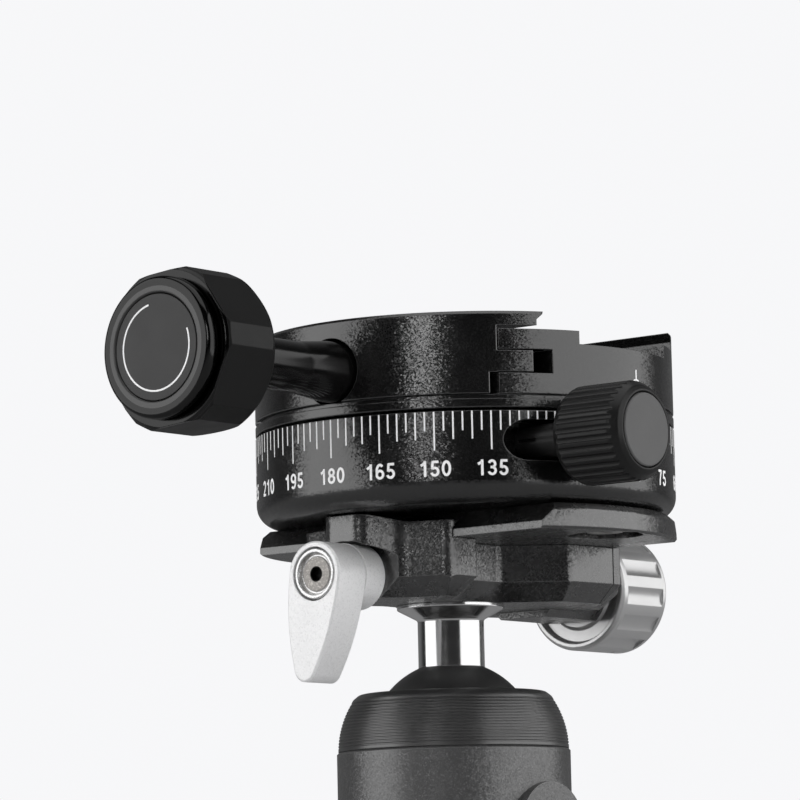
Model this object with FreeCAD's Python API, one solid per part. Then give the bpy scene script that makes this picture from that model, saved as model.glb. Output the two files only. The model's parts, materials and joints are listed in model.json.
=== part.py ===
import FreeCAD, Part
import math
import os

from FreeCAD import Vector

# Panoramic tripod head, millimetres.  +Z is up, the origin is the mouth of the tripod thread on
# the ball-head axis.  Stacked from below: a panning base, a ball head, a lever clamp for a 38 mm
# dovetail, a dovetail plate under a panning rotator, and a screw clamp on top of the rotator.
# The long axis of both dovetails is X, and both clamps close along Y.

# ---------------------------------------------------------------- fits and gaps
RUN = 0.06            # radial clearance of anything that turns or slides in a bore
FIT = 0.02            # radial clearance of pieces that are pressed, glued or screwed together
GAP = 0.3             # clear air between faces that must not rub
SEAT = 0.05           # clearance under a face that is carried by another one

# ---------------------------------------------------------------- dovetail standard
DOVETAIL_WIDTH = 38.0     # widest width of the camera-plate dovetail
DOVETAIL_BAND = 1.3       # upright band below the 45 degree flanks
DOVETAIL_FLANK = 1.4      # height and inset of a jaw's 45 degree flank

# ---------------------------------------------------------------- tripod base
BASE_HEIGHT = 6.4
BASE_EDGE = 0.8
TRIPOD_THREAD_RADIUS = 4.0      # 3/8"-16 thread, cut as a plain hole at its minor diameter
INSERT_RADIUS = 7.0
INSERT_DEPTH = 9.0
SPINDLE_RADIUS = 11.0
SHOULDER_HEIGHT = 4.8           # how much of the housing floor the ring nut traps
RING_NUT_RADIUS = 13.2
RING_NUT_HEIGHT = 2.3
RING_NUT_BORE = 8.0
WASHER_HEIGHT = 0.5
BRAKE_GROOVE = 0.7
WASHER_INSET = 2.0              # the slip washer ends this much inside the base disc
WRENCH_HOLE_RADIUS = 1.0
WRENCH_HOLE_FLOOR = 0.8

# ---------------------------------------------------------------- ball-head housing and collar
HOUSING_RADIUS = 20.0
HOUSING_HEIGHT = 39.25
HOUSING_FOOT_EDGE = 0.5
HOUSING_TOP_EDGE = 0.35
CAVITY_RADIUS = 14.75
COLLAR_SKIRT_RADIUS = 17.0
COLLAR_SKIRT_HEIGHT = 5.9
COLLAR_HEIGHT = 9.75
COLLAR_TOP_RADIUS = 17.2
COLLAR_EDGE = 1.2
COLLAR_STEP = 0.25              # the collar stands this much inside the housing wall
COLLAR_GROOVES = 15
COLLAR_GROOVE_PITCH = 0.53
COLLAR_GROOVE_DEPTH = 0.14
COLLAR_GROOVE_WIDTH = 0.26
COLLAR_MOUTH = 11.95
COLLAR_LIP_UNDERCUT = 1.7       # the collar widens this much below its mouth
COLLAR_LIP_HEIGHT = 2.5
LINER_HEIGHT = 3.4
LINER_RADIUS = 15.6

# ---------------------------------------------------------------- ball, stem and their seat
BALL_RADIUS = 14.4
BALL_RISE = 0.95                # ball centre above the housing's top edge
CUP_RADIUS = 14.2
CUP_HEIGHT = 6.6
CUP_BORE = 6.0
CUP_FLOOR = 0.6                 # metal left under the cup's lowest seat circle
O_RING_RADIUS = 10.6
O_RING_SECTION = 1.1
STEM_RADIUS = 5.7
STEM_SPIGOT_RADIUS = 3.6
STEM_SPIGOT_LENGTH = 10.0
STEM_REACH = 21.4               # ball centre to the foot of the flange cone
FLANGE_CONE_HEIGHT = 1.85
FLANGE_RIM_HEIGHT = 0.7
FLANGE_RADIUS = 9.2

# ---------------------------------------------------------------- main ball lock, on +X
LOCK_AXIS_Z = 24.0
LOCK_BOSS_RADIUS = 9.2
LOCK_BOSS_RISE = 7.0            # the boss runs up this far above the lock's axis
LOCK_BOSS_PROUD = 0.9
LOCK_SCREW_RADIUS = 3.0
LOCK_BORE_RADIUS = 5.4
WEDGE_LENGTH = 12.0
WEDGE_TRAVEL = 0.75
WEDGE_SLOPE = 20.0              # degrees
WEDGE_RAMP_RISE = 2.2           # middle of the ramp above the lock's axis
PISTON_RADIUS = 4.2
PISTON_LIFT = 0.3               # free travel of the pin before it meets the cup
LOCK_KNOB_RADIUS = 10.8
LOCK_KNOB_LENGTH = 15.0
LOCK_KNOB_LOBES = 8
LOCK_KNOB_LAND = 3.2
LOCK_KNOB_STANDOFF = 1.6
LOCK_KNOB_CAP_LENGTH = 2.6
LOCK_DISC_RECESS = 0.9
LOCK_DISC_HEIGHT = 0.6
LOCK_SCREW_COLLAR_LENGTH = 1.4

# ---------------------------------------------------------------- small pan lock on the base, on -X
BASE_LOCK_Z = 9.4
BASE_SCREW_RADIUS = 2.0
BASE_KNOB_RADIUS = 7.0
BASE_KNOB_LENGTH = 9.0
BASE_KNOB_STANDOFF = 2.4
BASE_KNOB_CAP = 2.5             # metal left over the end of the screw
BASE_KNOB_FLUTES = 18
BASE_KNOB_FLUTE_RADIUS = 0.7
BASE_SCREW_FLANGE_RADIUS = 3.2
BASE_SHOE_LENGTH = 3.4
BASE_SHOE_TRAVEL = 0.22

# ---------------------------------------------------------------- lever clamp
CLAMP_FRONT_WIDTH = 32.2        # along X, at the jaw lips
CLAMP_EAR_WIDTH = 43.0          # along X, at the rear ears
CLAMP_WAIST_WIDTH = 22.0
CLAMP_FLOOR_HEIGHT = 9.45        # clamp foot to the floor that the plate slides on
CLAMP_LIP_HEIGHT = 2.9          # floor to the top of the jaws
CLAMP_CHAMFER = 3.2
CLAMP_FRONT = 19.9              # front of the jaw beside the lobe, from the ball axis
CLAMP_LOBE_FRONT = 28.9         # front of the lobe over the lever
CLAMP_LOBE_WIDTH = 10.4
CLAMP_SPLIT = 18.2              # the moving jaw starts here
JAW_REAR = 31.8
JAW_BOSS_REAR = 35.6
JAW_BOSS_RADIUS = 7.4
JAW_TRAVEL = 1.5
JAW_SEAM = 0.25
CLAMP_SCREW_RADIUS = 3.0
CLAMP_SCREW_HEAD_RADIUS = 5.0
CLAMP_SCREW_HEAD_HEIGHT = 2.2
CLAMP_SCREW_LENGTH = 16.0
CLAMP_SCREW_SUNK = 0.4          # the head lies this much below the clamp floor
CLAMP_SCREW_SOCKET = 5.0        # across flats
ROD_RADIUS = 2.5
YOKE_SLEEVE_RADIUS = 2.5
YOKE_BAR = 2.6                  # width of the eye's bars around the clamp screw
YOKE_FOOT = 1.6                 # underside of the eye above the clamp's foot
YOKE_HEIGHT = 3.9
YOKE_SLEEVE_LENGTH = 9.0
ROD_DROP = 5.05                 # rear rod's axis below the clamp floor
LEVER_DROP = 5.95               # lever's axis below the clamp floor
CLAMP_LOBE_RISE = 1.3           # the lobe over the lever stands this much above the jaws
GUIDE_PIN_RADIUS = 1.5
GUIDE_PIN_SPACING = 20.0
GUIDE_PIN_LENGTH = 16.0
JAW_SPRING_SPACING = 27.0
JAW_SPRING_RADIUS = 1.4
JAW_SPRING_WIRE = 0.4
JAW_SPRING_POCKET = 5.0
SPRING_TURNS = 6

# ---------------------------------------------------------------- lever and tension knob
LEVER_HEAD_RADIUS = 5.45
LEVER_TIP_RADIUS = 2.3
LEVER_SIDE_RADIUS = 43.0        # bulge of the blade's long sides
LEVER_THICKNESS = 7.2
LEVER_FACE = 36.3               # front face, from the ball axis
LEVER_LEAN = 9.0                # degrees that the locked lever points away from straight down
LEVER_HUB_RADIUS = 5.5
LEVER_HUB_LENGTH = 5.9
LEVER_SCREW_HEAD_RADIUS = 4.3
LEVER_SCREW_HEAD_HEIGHT = 2.2
LEVER_SCREW_FACE_RADIUS = 2.85
LEVER_SCREW_RADIUS = 1.5
LEVER_SCREW_SOCKET = 2.1        # across flats
LEVER_SCREW_SOCKET_DEPTH = 1.6
LEVER_SCREW_ENTRY = 1.5         # thread engaged past the front of the draw bar's eye
LEVER_EDGE = 0.3
TENSION_KNOB_RADIUS = 10.6
TENSION_KNOB_LENGTH = 13.6
TENSION_KNOB_SCALLOPS = 13
TENSION_SCALLOP_RADIUS = 4.2
TENSION_SCALLOP_DEPTH = 0.42

# ---------------------------------------------------------------- dovetail plate and scale ring
PAN_X = 4.0                     # rotator axis ahead of the ball axis
ROTATOR_RADIUS = 36.0
PLATE_HEIGHT = 4.4
PLATE_RECESS_RADIUS = 6.4
PLATE_RECESS_X = 29.3
PLATE_RECESS_DEPTH = 2.2
PLATE_SCREW_HEAD_RADIUS = 3.4
PLATE_SCREW_HEAD_HEIGHT = 1.7
PLATE_SCREW_SOCKET = 2.5        # across flats
PLATE_SCREW_SOCKET_DEPTH = 1.0
PLATE_SCREW_RADIUS = 2.0
PLATE_SCREW_LENGTH = 8.0
RING_HEIGHT = 15.05
RING_BOTTOM_ROUND = 3.5
RING_WEB_Z = 4.2                # ring foot to the web that the rotor hangs on
RING_WEB_HEIGHT = 2.0
RING_FOOT_BORE = 17.0
BAND_POCKET_RADIUS = 17.2
SPINDLE_DRUM_RADIUS = 12.0
BAND_RADIUS = 15.4
BAND_SLIP = 0.2
BAND_HEIGHT = 7.6
BAND_EAR_WIDTH = 4.0
BAND_SLOT = 1.6
BAND_EAR_REACH = 3.4            # the ears run on this far past the pan lock's axis
BAND_ROOM_WIDTH = 15.0          # room for both ears in the scale ring
BAND_ROOM_BACK = 14.0
RETAINER_RADIUS = 16.0
RETAINER_HEIGHT = 1.6
RETAINER_SCREW_RADIUS = 3.0
RETAINER_SCREW_LENGTH = 12.0
RETAINER_HEAD_RADIUS = 5.5
RETAINER_HEAD_HEIGHT = 2.2
RETAINER_SOCKET = 4.0           # across flats
RETAINER_SOCKET_DEPTH = 1.4
BEARING_RADIUS = 25.0
BEARING_BALL_RADIUS = 1.5
BEARING_BALLS = 24
CAGE_WIDTH = 5.0
CAGE_HEIGHT = 1.2

# ---------------------------------------------------------------- pan lock of the rotator
PAN_LOCK_Y = 17.0
PAN_LOCK_DROP = 4.95             # knob axis below the ring's top
PAN_SCREW_RADIUS = 2.0
PAN_STEM_RADIUS = 2.8
PAN_POCKET_RADIUS = 3.4
PAN_POCKET_WIDTH = 14.0
PAN_POCKET_FLOOR = 26.0
PAN_KNOB_NEAR = 37.1
PAN_KNOB_LENGTH = 13.5
PAN_KNOB_RADIUS = 8.2
PAN_KNOB_FLUTES = 32
PAN_KNOB_FACE_RADIUS = 6.05
PAN_KNOB_FACE_DEPTH = 0.5
PAN_KNOB_CAP_WALL = 3.0
PAN_FLUTE_RADIUS = 0.55
PAN_STEM_SLIT = 0.5
PAN_STEM_SLIT_LENGTH = 3.6
PAN_STEM_SLIT_DEPTH = 0.9

# ---------------------------------------------------------------- rotor and its screw clamp
ROTOR_LIFT = 0.4                # running gap above the scale ring
ROTOR_FLANGE_HEIGHT = 1.55
ROTOR_GROOVE_HEIGHT = 0.7
ROTOR_GROOVE_DEPTH = 0.8
ROTOR_BODY_HEIGHT = 10.8        # groove to the floor of the dovetail
ROTOR_CHANNEL_WIDTH = 24.0
ROTOR_CHANNEL_DEPTH = 2.2
ROTOR_LIP_HEIGHT = 3.0
TOP_JAW_FACE = 24.35            # the moving jaw starts here
TOP_JAW_SEAM = 0.2
TOP_JAW_FOOT_FACE = 25.5        # below the tongue the jaw is cut back to here
TONGUE_REACH = 4.6
TONGUE_HEIGHT = 3.5
TONGUE_FOOT = 3.7               # jaw foot to the tongue
TONGUE_INNER_X = 22.5
TONGUE_SLOT_REACH = 7.6
TONGUE_CLEAR = 0.25
LOCK_SHAFT_DROP = 5.6           # lock screw axis below the dovetail floor
LOCK_SHAFT_ROOT_RADIUS = 5.1
LOCK_SHAFT_TIP_RADIUS = 4.25
LOCK_SHAFT_TAPER_END = 45.0
LOCK_SHAFT_COLLAR_RADIUS = 4.9
LOCK_SHAFT_COLLAR_LENGTH = 1.4
JAW_HOLE_RADIUS = 5.6
JAW_HOLE_DEPTH = 7.6
TOP_SCREW_RADIUS = 3.0
TOP_SCREW_TIP_Y = 13.0
TOP_SCREW_KNOB_LENGTH = 8.0     # how far the screw goes into the knob
TOP_SPRING_SPACING = 26.0
TOP_SPRING_RADIUS = 1.5
TOP_SPRING_WIRE = 0.45
TOP_SPRING_LENGTH = 6.2
TOP_SPRING_ROOM = 0.2           # radial room around a spring
ROTOR_SPRING_POCKET = 4.0
JAW_SPRING_BORE = 3.4           # depth of the spring's hole in the top jaw
TOP_KNOB_NEAR = 61.5
TOP_KNOB_GRIP_LENGTH = 14.9
TOP_KNOB_CAP_LENGTH = 2.5
TOP_KNOB_RADIUS = 13.4
TOP_KNOB_LOBES = 6
TOP_KNOB_LAND = 3.6
TOP_KNOB_TURN = 5.0             # degrees from +X up to the first land
TOP_KNOB_CAP_RADIUS = 11.45
TOP_DISC_RADIUS = 8.5
TOP_DISC_HEIGHT = 0.8
TOP_DISC_RECESS = 0.2

# ---------------------------------------------------------------- sizes and levels that follow
BASE_RADIUS = HOUSING_RADIUS    # the base disc is flush with the housing
WASHER_Z = BASE_HEIGHT
HOUSING_Z = WASHER_Z + WASHER_HEIGHT + SEAT
RING_NUT_Z = HOUSING_Z + SHOULDER_HEIGHT + SEAT
SPINDLE_TOP = RING_NUT_Z + RING_NUT_HEIGHT
HOUSING_TOP = HOUSING_Z + HOUSING_HEIGHT
COLLAR_Z = HOUSING_TOP + SEAT
COLLAR_TOP = COLLAR_Z + COLLAR_HEIGHT
BALL_Z = HOUSING_TOP + BALL_RISE
STEM_TOP = BALL_Z + STEM_REACH
CLAMP_Z = STEM_TOP + FLANGE_CONE_HEIGHT + FLANGE_RIM_HEIGHT
CLAMP_FLOOR = CLAMP_Z + CLAMP_FLOOR_HEIGHT
CLAMP_TOP = CLAMP_FLOOR + CLAMP_LIP_HEIGHT
ROD_Z = CLAMP_FLOOR - ROD_DROP
LEVER_Z = CLAMP_FLOOR - LEVER_DROP
PLATE_Z = CLAMP_FLOOR + SEAT
RING_Z = PLATE_Z + PLATE_HEIGHT
RING_TOP = RING_Z + RING_HEIGHT
WEB_TOP = RING_Z + RING_WEB_Z + RING_WEB_HEIGHT
ROTOR_Z = RING_TOP + ROTOR_LIFT
ROTOR_FLANGE_TOP = ROTOR_Z + ROTOR_FLANGE_HEIGHT
ROTOR_BODY_Z = ROTOR_FLANGE_TOP + ROTOR_GROOVE_HEIGHT
ROTOR_FLOOR = ROTOR_BODY_Z + ROTOR_BODY_HEIGHT
ROTOR_TOP = ROTOR_FLOOR + ROTOR_LIP_HEIGHT
LOCK_Z = ROTOR_FLOOR - LOCK_SHAFT_DROP
PAN_LOCK_Z = RING_TOP - PAN_LOCK_DROP
HALF_DOVETAIL = DOVETAIL_WIDTH / 2
JAW_FACE = HALF_DOVETAIL + 2 * SEAT
CAVITY_FLOOR = BALL_Z - BALL_RADIUS - CUP_FLOOR - 2 * O_RING_SECTION
CUP_Z = CAVITY_FLOOR + 2 * O_RING_SECTION

X_AXIS = Vector(1, 0, 0)
Y_AXIS = Vector(0, 1, 0)
Z_AXIS = Vector(0, 0, 1)


# ---------------------------------------------------------------- shape helpers
def rounded_wire(corners, place):
    """Close a polygon of (a, b) or (a, b, radius) corners; a radius turns the corner to an arc."""
    points = [Vector(c[0], c[1], 0) for c in corners]
    radii = [c[2] if len(c) > 2 else 0.0 for c in corners]
    count = len(points)
    starts, ends, middles = [], [], []
    for i, corner in enumerate(points):
        back = points[i - 1] - corner
        ahead = points[(i + 1) % count] - corner
        half = back.getAngle(ahead) / 2
        reach = radii[i] / math.tan(half) if radii[i] else 0.0
        reach = min(reach, 0.48 * back.Length, 0.48 * ahead.Length)
        radius = reach * math.tan(half)
        back.normalize()
        ahead.normalize()
        starts.append(corner + back * reach)
        ends.append(corner + ahead * reach)
        if reach:
            inward = back + ahead
            inward.normalize()
            middles.append(corner + inward * (radius / math.sin(half) - radius))
        else:
            middles.append(None)
    edges = []
    for i in range(count):
        if middles[i]:
            edges.append(Part.Arc(place(starts[i]), place(middles[i]), place(ends[i])).toShape())
        edges.append(Part.LineSegment(place(ends[i]), place(starts[(i + 1) % count])).toShape())
    return Part.Wire(edges)


def turned(profile, x=0.0, y=0.0):
    """Turn a profile of (radius, z) corners about an upright axis."""
    wire = rounded_wire(profile, lambda p: Vector(x + p.x, y, p.y))
    return Part.Face(wire).revolve(Vector(x, y, 0), Z_AXIS, 360)


def turned_y(profile, x, z):
    """Turn a profile of (radius, y) corners about an axis along Y."""
    wire = rounded_wire(profile, lambda p: Vector(x + p.x, p.y, z))
    return Part.Face(wire).revolve(Vector(x, 0, z), Y_AXIS, 360)


def turned_x(profile, y, z):
    """Turn a profile of (radius, x) corners about an axis along X."""
    wire = rounded_wire(profile, lambda p: Vector(p.y, y + p.x, z))
    return Part.Face(wire).revolve(Vector(0, y, z), X_AXIS, 360)


def plate_z(outline, z0, z1):
    """Pull an outline of (x, y) corners up from z0 to z1."""
    wire = rounded_wire(outline, lambda p: Vector(p.x, p.y, z0))
    return Part.Face(wire).extrude(Vector(0, 0, z1 - z0))


def bar_x(outline, x0, x1):
    """Pull an outline of (y, z) corners along X."""
    wire = rounded_wire(outline, lambda p: Vector(x0, p.x, p.y))
    return Part.Face(wire).extrude(Vector(x1 - x0, 0, 0))


def bar_y(outline, y0, y1):
    """Pull an outline of (x, z) corners along Y."""
    wire = rounded_wire(outline, lambda p: Vector(p.x, y0, p.y))
    return Part.Face(wire).extrude(Vector(0, y1 - y0, 0))


def block(x0, x1, y0, y1, z0, z1):
    return Part.makeBox(x1 - x0, y1 - y0, z1 - z0, Vector(x0, y0, z0))


def rod_z(radius, z0, z1, x=0.0, y=0.0):
    return Part.makeCylinder(radius, z1 - z0, Vector(x, y, z0), Z_AXIS)


def rod_x(radius, x0, x1, y, z):
    return Part.makeCylinder(radius, x1 - x0, Vector(x0, y, z), X_AXIS)


def rod_y(radius, y0, y1, x, z):
    return Part.makeCylinder(radius, y1 - y0, Vector(x, y0, z), Y_AXIS)


def tube_z(outer, inner, z0, z1, x=0.0, y=0.0):
    return rod_z(outer, z0, z1, x, y).cut(rod_z(inner, z0 - 1, z1 + 1, x, y))


def hexagon(across_flats):
    corner = across_flats / math.sqrt(3)
    return [(corner * math.cos(math.radians(60 * i)), corner * math.sin(math.radians(60 * i)))
            for i in range(6)]


def export(name, *solids):
    shape = solids[0] if len(solids) == 1 else Part.makeCompound(solids)
    shape.exportStep("parts/" + name + ".step")
    print(name, len(shape.Solids), "solid(s)", "valid" if shape.isValid() else "NOT VALID",
          round(shape.Volume, 1), "mm3")


# ---------------------------------------------------------------- tripod base
def base_disc():
    groove_z = BASE_LOCK_Z
    disc = turned([
        (0, 0), (BASE_RADIUS - BASE_EDGE, 0), (BASE_RADIUS, BASE_EDGE),
        (BASE_RADIUS, BASE_HEIGHT - BASE_EDGE / 2), (BASE_RADIUS - BASE_EDGE / 2, BASE_HEIGHT),
        (SPINDLE_RADIUS, BASE_HEIGHT), (SPINDLE_RADIUS, groove_z - 2 * BRAKE_GROOVE),
        (SPINDLE_RADIUS - BRAKE_GROOVE, groove_z - BRAKE_GROOVE),
        (SPINDLE_RADIUS - BRAKE_GROOVE, groove_z + BRAKE_GROOVE),
        (SPINDLE_RADIUS, groove_z + 2 * BRAKE_GROOVE),
        (SPINDLE_RADIUS, RING_NUT_Z), (RING_NUT_BORE, RING_NUT_Z),
        (RING_NUT_BORE, SPINDLE_TOP), (0, SPINDLE_TOP),
    ])
    disc = disc.cut(rod_z(INSERT_RADIUS + FIT, -1, INSERT_DEPTH + FIT))
    return disc.cut(rod_z(TRIPOD_THREAD_RADIUS + GAP, 0, INSERT_DEPTH + 2))


def thread_insert():
    """Steel bush that carries the tripod thread, screwed into the disc from below."""
    return turned([
        (TRIPOD_THREAD_RADIUS, 0), (INSERT_RADIUS, 0), (INSERT_RADIUS, INSERT_DEPTH),
        (TRIPOD_THREAD_RADIUS, INSERT_DEPTH),
    ])


def base_washer():
    return tube_z(BASE_RADIUS - WASHER_INSET, SPINDLE_RADIUS + RUN, WASHER_Z, WASHER_Z + WASHER_HEIGHT)


def base_ring_nut():
    """Ring nut on the spindle that keeps the housing down, with two holes for a pin wrench."""
    nut = tube_z(RING_NUT_RADIUS, RING_NUT_BORE + FIT, RING_NUT_Z, SPINDLE_TOP)
    hole_x = (RING_NUT_RADIUS + RING_NUT_BORE) / 2
    for side in (-1, 1):
        nut = nut.cut(rod_z(WRENCH_HOLE_RADIUS, RING_NUT_Z + WRENCH_HOLE_FLOOR, SPINDLE_TOP + 1,
                            x=side * hole_x))
    return nut


# ---------------------------------------------------------------- ball-head housing
def housing():
    shell = turned([
        (SPINDLE_RADIUS + RUN, HOUSING_Z), (HOUSING_RADIUS - HOUSING_FOOT_EDGE, HOUSING_Z),
        (HOUSING_RADIUS, HOUSING_Z + HOUSING_FOOT_EDGE),
        (HOUSING_RADIUS, HOUSING_TOP - HOUSING_TOP_EDGE),
        (HOUSING_RADIUS - HOUSING_TOP_EDGE, HOUSING_TOP), (COLLAR_SKIRT_RADIUS + FIT, HOUSING_TOP),
        (COLLAR_SKIRT_RADIUS + FIT, HOUSING_TOP - COLLAR_SKIRT_HEIGHT - SEAT),
        (CAVITY_RADIUS, HOUSING_TOP - COLLAR_SKIRT_HEIGHT - SEAT), (CAVITY_RADIUS, CAVITY_FLOOR),
        (0, CAVITY_FLOOR), (0, SPINDLE_TOP + GAP), (RING_NUT_RADIUS + GAP, SPINDLE_TOP + GAP),
        (RING_NUT_RADIUS + GAP, HOUSING_Z + SHOULDER_HEIGHT),
        (SPINDLE_RADIUS + RUN, HOUSING_Z + SHOULDER_HEIGHT),
    ])
    boss_face = HOUSING_RADIUS + LOCK_BOSS_PROUD
    low, high, half = LOCK_AXIS_Z, LOCK_AXIS_Z + LOCK_BOSS_RISE, LOCK_BOSS_RADIUS
    boss = rod_x(half, HOUSING_RADIUS / 2, boss_face, 0, low)
    boss = boss.fuse(rod_x(half, HOUSING_RADIUS / 2, boss_face, 0, high))
    boss = boss.fuse(block(HOUSING_RADIUS / 2, boss_face, -half, half, low, high))
    boss = boss.cut(rod_z(CAVITY_RADIUS + 1, 0, HOUSING_TOP))
    shell = shell.fuse(boss).removeSplitter()
    wedge_back = -WEDGE_LENGTH / 2 - WEDGE_TRAVEL - GAP
    shell = shell.cut(rod_x(LOCK_BORE_RADIUS, wedge_back, boss_face + 1, 0, LOCK_AXIS_Z))
    shell = shell.cut(rod_z(PISTON_RADIUS + RUN, LOCK_AXIS_Z, CAVITY_FLOOR + 1))
    shell = shell.cut(rod_x(BASE_SCREW_RADIUS + RUN, -HOUSING_RADIUS - 1, 0, 0, BASE_LOCK_Z))
    return shell


def collar():
    """Grooved ring nut that holds the ball down.  Its mouth limits how far the stem can lean."""
    foot = HOUSING_RADIUS - COLLAR_STEP
    bulge = ((foot - COLLAR_TOP_RADIUS) ** 2 + (COLLAR_HEIGHT - COLLAR_EDGE) ** 2)
    bulge = bulge / (2 * (foot - COLLAR_TOP_RADIUS))

    def flare(z):
        """Outer radius of the flared wall at a height above the collar's foot."""
        return foot - bulge + math.sqrt(bulge ** 2 - z ** 2)

    profile = [(foot, COLLAR_Z)]
    band = COLLAR_HEIGHT - COLLAR_EDGE - COLLAR_GROOVES * COLLAR_GROOVE_PITCH
    for i in range(COLLAR_GROOVES):
        low = max(band, 0.3) + i * COLLAR_GROOVE_PITCH
        high = low + COLLAR_GROOVE_WIDTH
        profile += [(flare(low), COLLAR_Z + low),
                    (flare(low) - COLLAR_GROOVE_DEPTH, COLLAR_Z + low),
                    (flare(high) - COLLAR_GROOVE_DEPTH, COLLAR_Z + high),
                    (flare(high), COLLAR_Z + high)]
    shoulder = COLLAR_Z + COLLAR_HEIGHT - COLLAR_EDGE * 0.75
    profile += [(COLLAR_TOP_RADIUS - 0.1, shoulder, COLLAR_EDGE),
                (COLLAR_TOP_RADIUS - COLLAR_EDGE, COLLAR_TOP, COLLAR_EDGE),
                (COLLAR_MOUTH + 0.2, COLLAR_TOP), (COLLAR_MOUTH, COLLAR_TOP - 0.3),
                (COLLAR_MOUTH + COLLAR_LIP_UNDERCUT, COLLAR_TOP - 2.2)]
    liner_top = COLLAR_TOP - COLLAR_LIP_HEIGHT
    profile += [(COLLAR_MOUTH + COLLAR_LIP_UNDERCUT, liner_top), (LINER_RADIUS, liner_top),
                (LINER_RADIUS, HOUSING_TOP - COLLAR_SKIRT_HEIGHT),
                (COLLAR_SKIRT_RADIUS, HOUSING_TOP - COLLAR_SKIRT_HEIGHT),
                (COLLAR_SKIRT_RADIUS, COLLAR_Z)]
    return turned(profile)


def collar_liner():
    """Low-friction ring between the collar and the upper half of the ball."""
    top = COLLAR_TOP - COLLAR_LIP_HEIGHT - FIT
    ring = tube_z(LINER_RADIUS - FIT, BALL_RADIUS / 2, top - LINER_HEIGHT, top)
    return ring.cut(Part.makeSphere(BALL_RADIUS + RUN, Vector(0, 0, BALL_Z)))


def ball_cup():
    """Seat under the ball; it turns with the ball about the upright axis."""
    cup = tube_z(CUP_RADIUS, CUP_BORE, CUP_Z + SEAT, CUP_Z + CUP_HEIGHT)
    return cup.cut(Part.makeSphere(BALL_RADIUS + RUN, Vector(0, 0, BALL_Z)))


def cup_o_ring():
    return Part.makeTorus(O_RING_RADIUS, O_RING_SECTION, Vector(0, 0, CUP_Z - O_RING_SECTION))


# ---------------------------------------------------------------- main ball lock
def wedge_top(x):
    """Height of the wedge's ramp above the base at x."""
    return LOCK_AXIS_Z + WEDGE_RAMP_RISE + x * math.tan(math.radians(WEDGE_SLOPE))


def lock_wedge():
    """Round bar with a ramp; the lock screw pushes it inwards under the piston."""
    half = WEDGE_LENGTH / 2
    wide = LOCK_BORE_RADIUS + 1
    bar = rod_x(LOCK_BORE_RADIUS - RUN, -half, half, 0, LOCK_AXIS_Z)
    near, far = -half - 1, half + 1
    above = bar_y([(near, wedge_top(near)), (far, wedge_top(far)), (far, CAVITY_FLOOR), (near, CAVITY_FLOOR)],
                  -wide, wide)
    return bar.cut(above)


def lift_piston():
    """Pin that the wedge pushes up against the cup; its foot has the wedge's slope."""
    pin = rod_z(PISTON_RADIUS, LOCK_AXIS_Z, CUP_Z - PISTON_LIFT)
    wide = PISTON_RADIUS + 1
    under = bar_y([(-wide, LOCK_AXIS_Z - 1), (-wide, wedge_top(-wide) + 2 * SEAT),
                   (wide, wedge_top(wide) + 2 * SEAT), (wide, LOCK_AXIS_Z - 1)], -wide, wide)
    return pin.cut(under)


def lobed_grip(radius, lobes, land, near, far, edge, turn):
    """Turned grip along its own axis with flats milled between narrow lands."""
    half_land = math.asin(land / 2 / radius)
    outline = []
    for i in range(lobes):
        middle = 2 * math.pi * i / lobes
        for side in (-half_land, half_land):
            outline.append((radius * math.cos(middle + side), radius * math.sin(middle + side), 0.35))
    blank = turn([(0, near), (radius - edge, near, edge), (radius + 0.1, near + edge * 1.2, edge),
                  (radius + 0.1, far - 0.8), (radius - 0.8, far), (0, far)])
    return blank, outline


def ball_lock_knob():
    near = HOUSING_RADIUS + LOCK_BOSS_PROUD + LOCK_KNOB_STANDOFF
    far = near + LOCK_KNOB_LENGTH

    def turn(profile):
        return turned_x(profile, 0, LOCK_AXIS_Z)

    blank, outline = lobed_grip(LOCK_KNOB_RADIUS, LOCK_KNOB_LOBES, LOCK_KNOB_LAND, near,
                                far - LOCK_KNOB_CAP_LENGTH, 1.8, turn)
    prism = bar_x([(a, b + LOCK_AXIS_Z, r) for a, b, r in outline], near - 1, far + 1)
    grip = blank.common(prism)
    cap = turned_x([(0, far - 3.4), (LOCK_KNOB_RADIUS * 0.86, far - 3.4),
                    (LOCK_KNOB_RADIUS * 0.86, far, 1.6), (LOCK_KNOB_RADIUS * 0.66, far, 0.4),
                    (LOCK_KNOB_RADIUS * 0.64, far - LOCK_DISC_RECESS), (0, far - LOCK_DISC_RECESS)],
                   0, LOCK_AXIS_Z)
    knob = grip.fuse(cap).removeSplitter()
    return knob.cut(rod_x(LOCK_SCREW_RADIUS + FIT, near - 1, far - 4, 0, LOCK_AXIS_Z))


def ball_lock_disc():
    near = HOUSING_RADIUS + LOCK_BOSS_PROUD + LOCK_KNOB_STANDOFF
    face = near + LOCK_KNOB_LENGTH - LOCK_DISC_RECESS
    return rod_x(LOCK_KNOB_RADIUS * 0.62, face, face + LOCK_DISC_HEIGHT, 0, LOCK_AXIS_Z)


def ball_lock_screw():
    near = HOUSING_RADIUS + LOCK_BOSS_PROUD + LOCK_KNOB_STANDOFF
    tip = WEDGE_LENGTH / 2 + GAP
    screw = rod_x(LOCK_SCREW_RADIUS, tip, near + LOCK_KNOB_LENGTH - 4.2, 0, LOCK_AXIS_Z)
    return screw.fuse(rod_x(LOCK_BORE_RADIUS - 0.4, near - LOCK_SCREW_COLLAR_LENGTH, near - FIT, 0,
                            LOCK_AXIS_Z))


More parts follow.
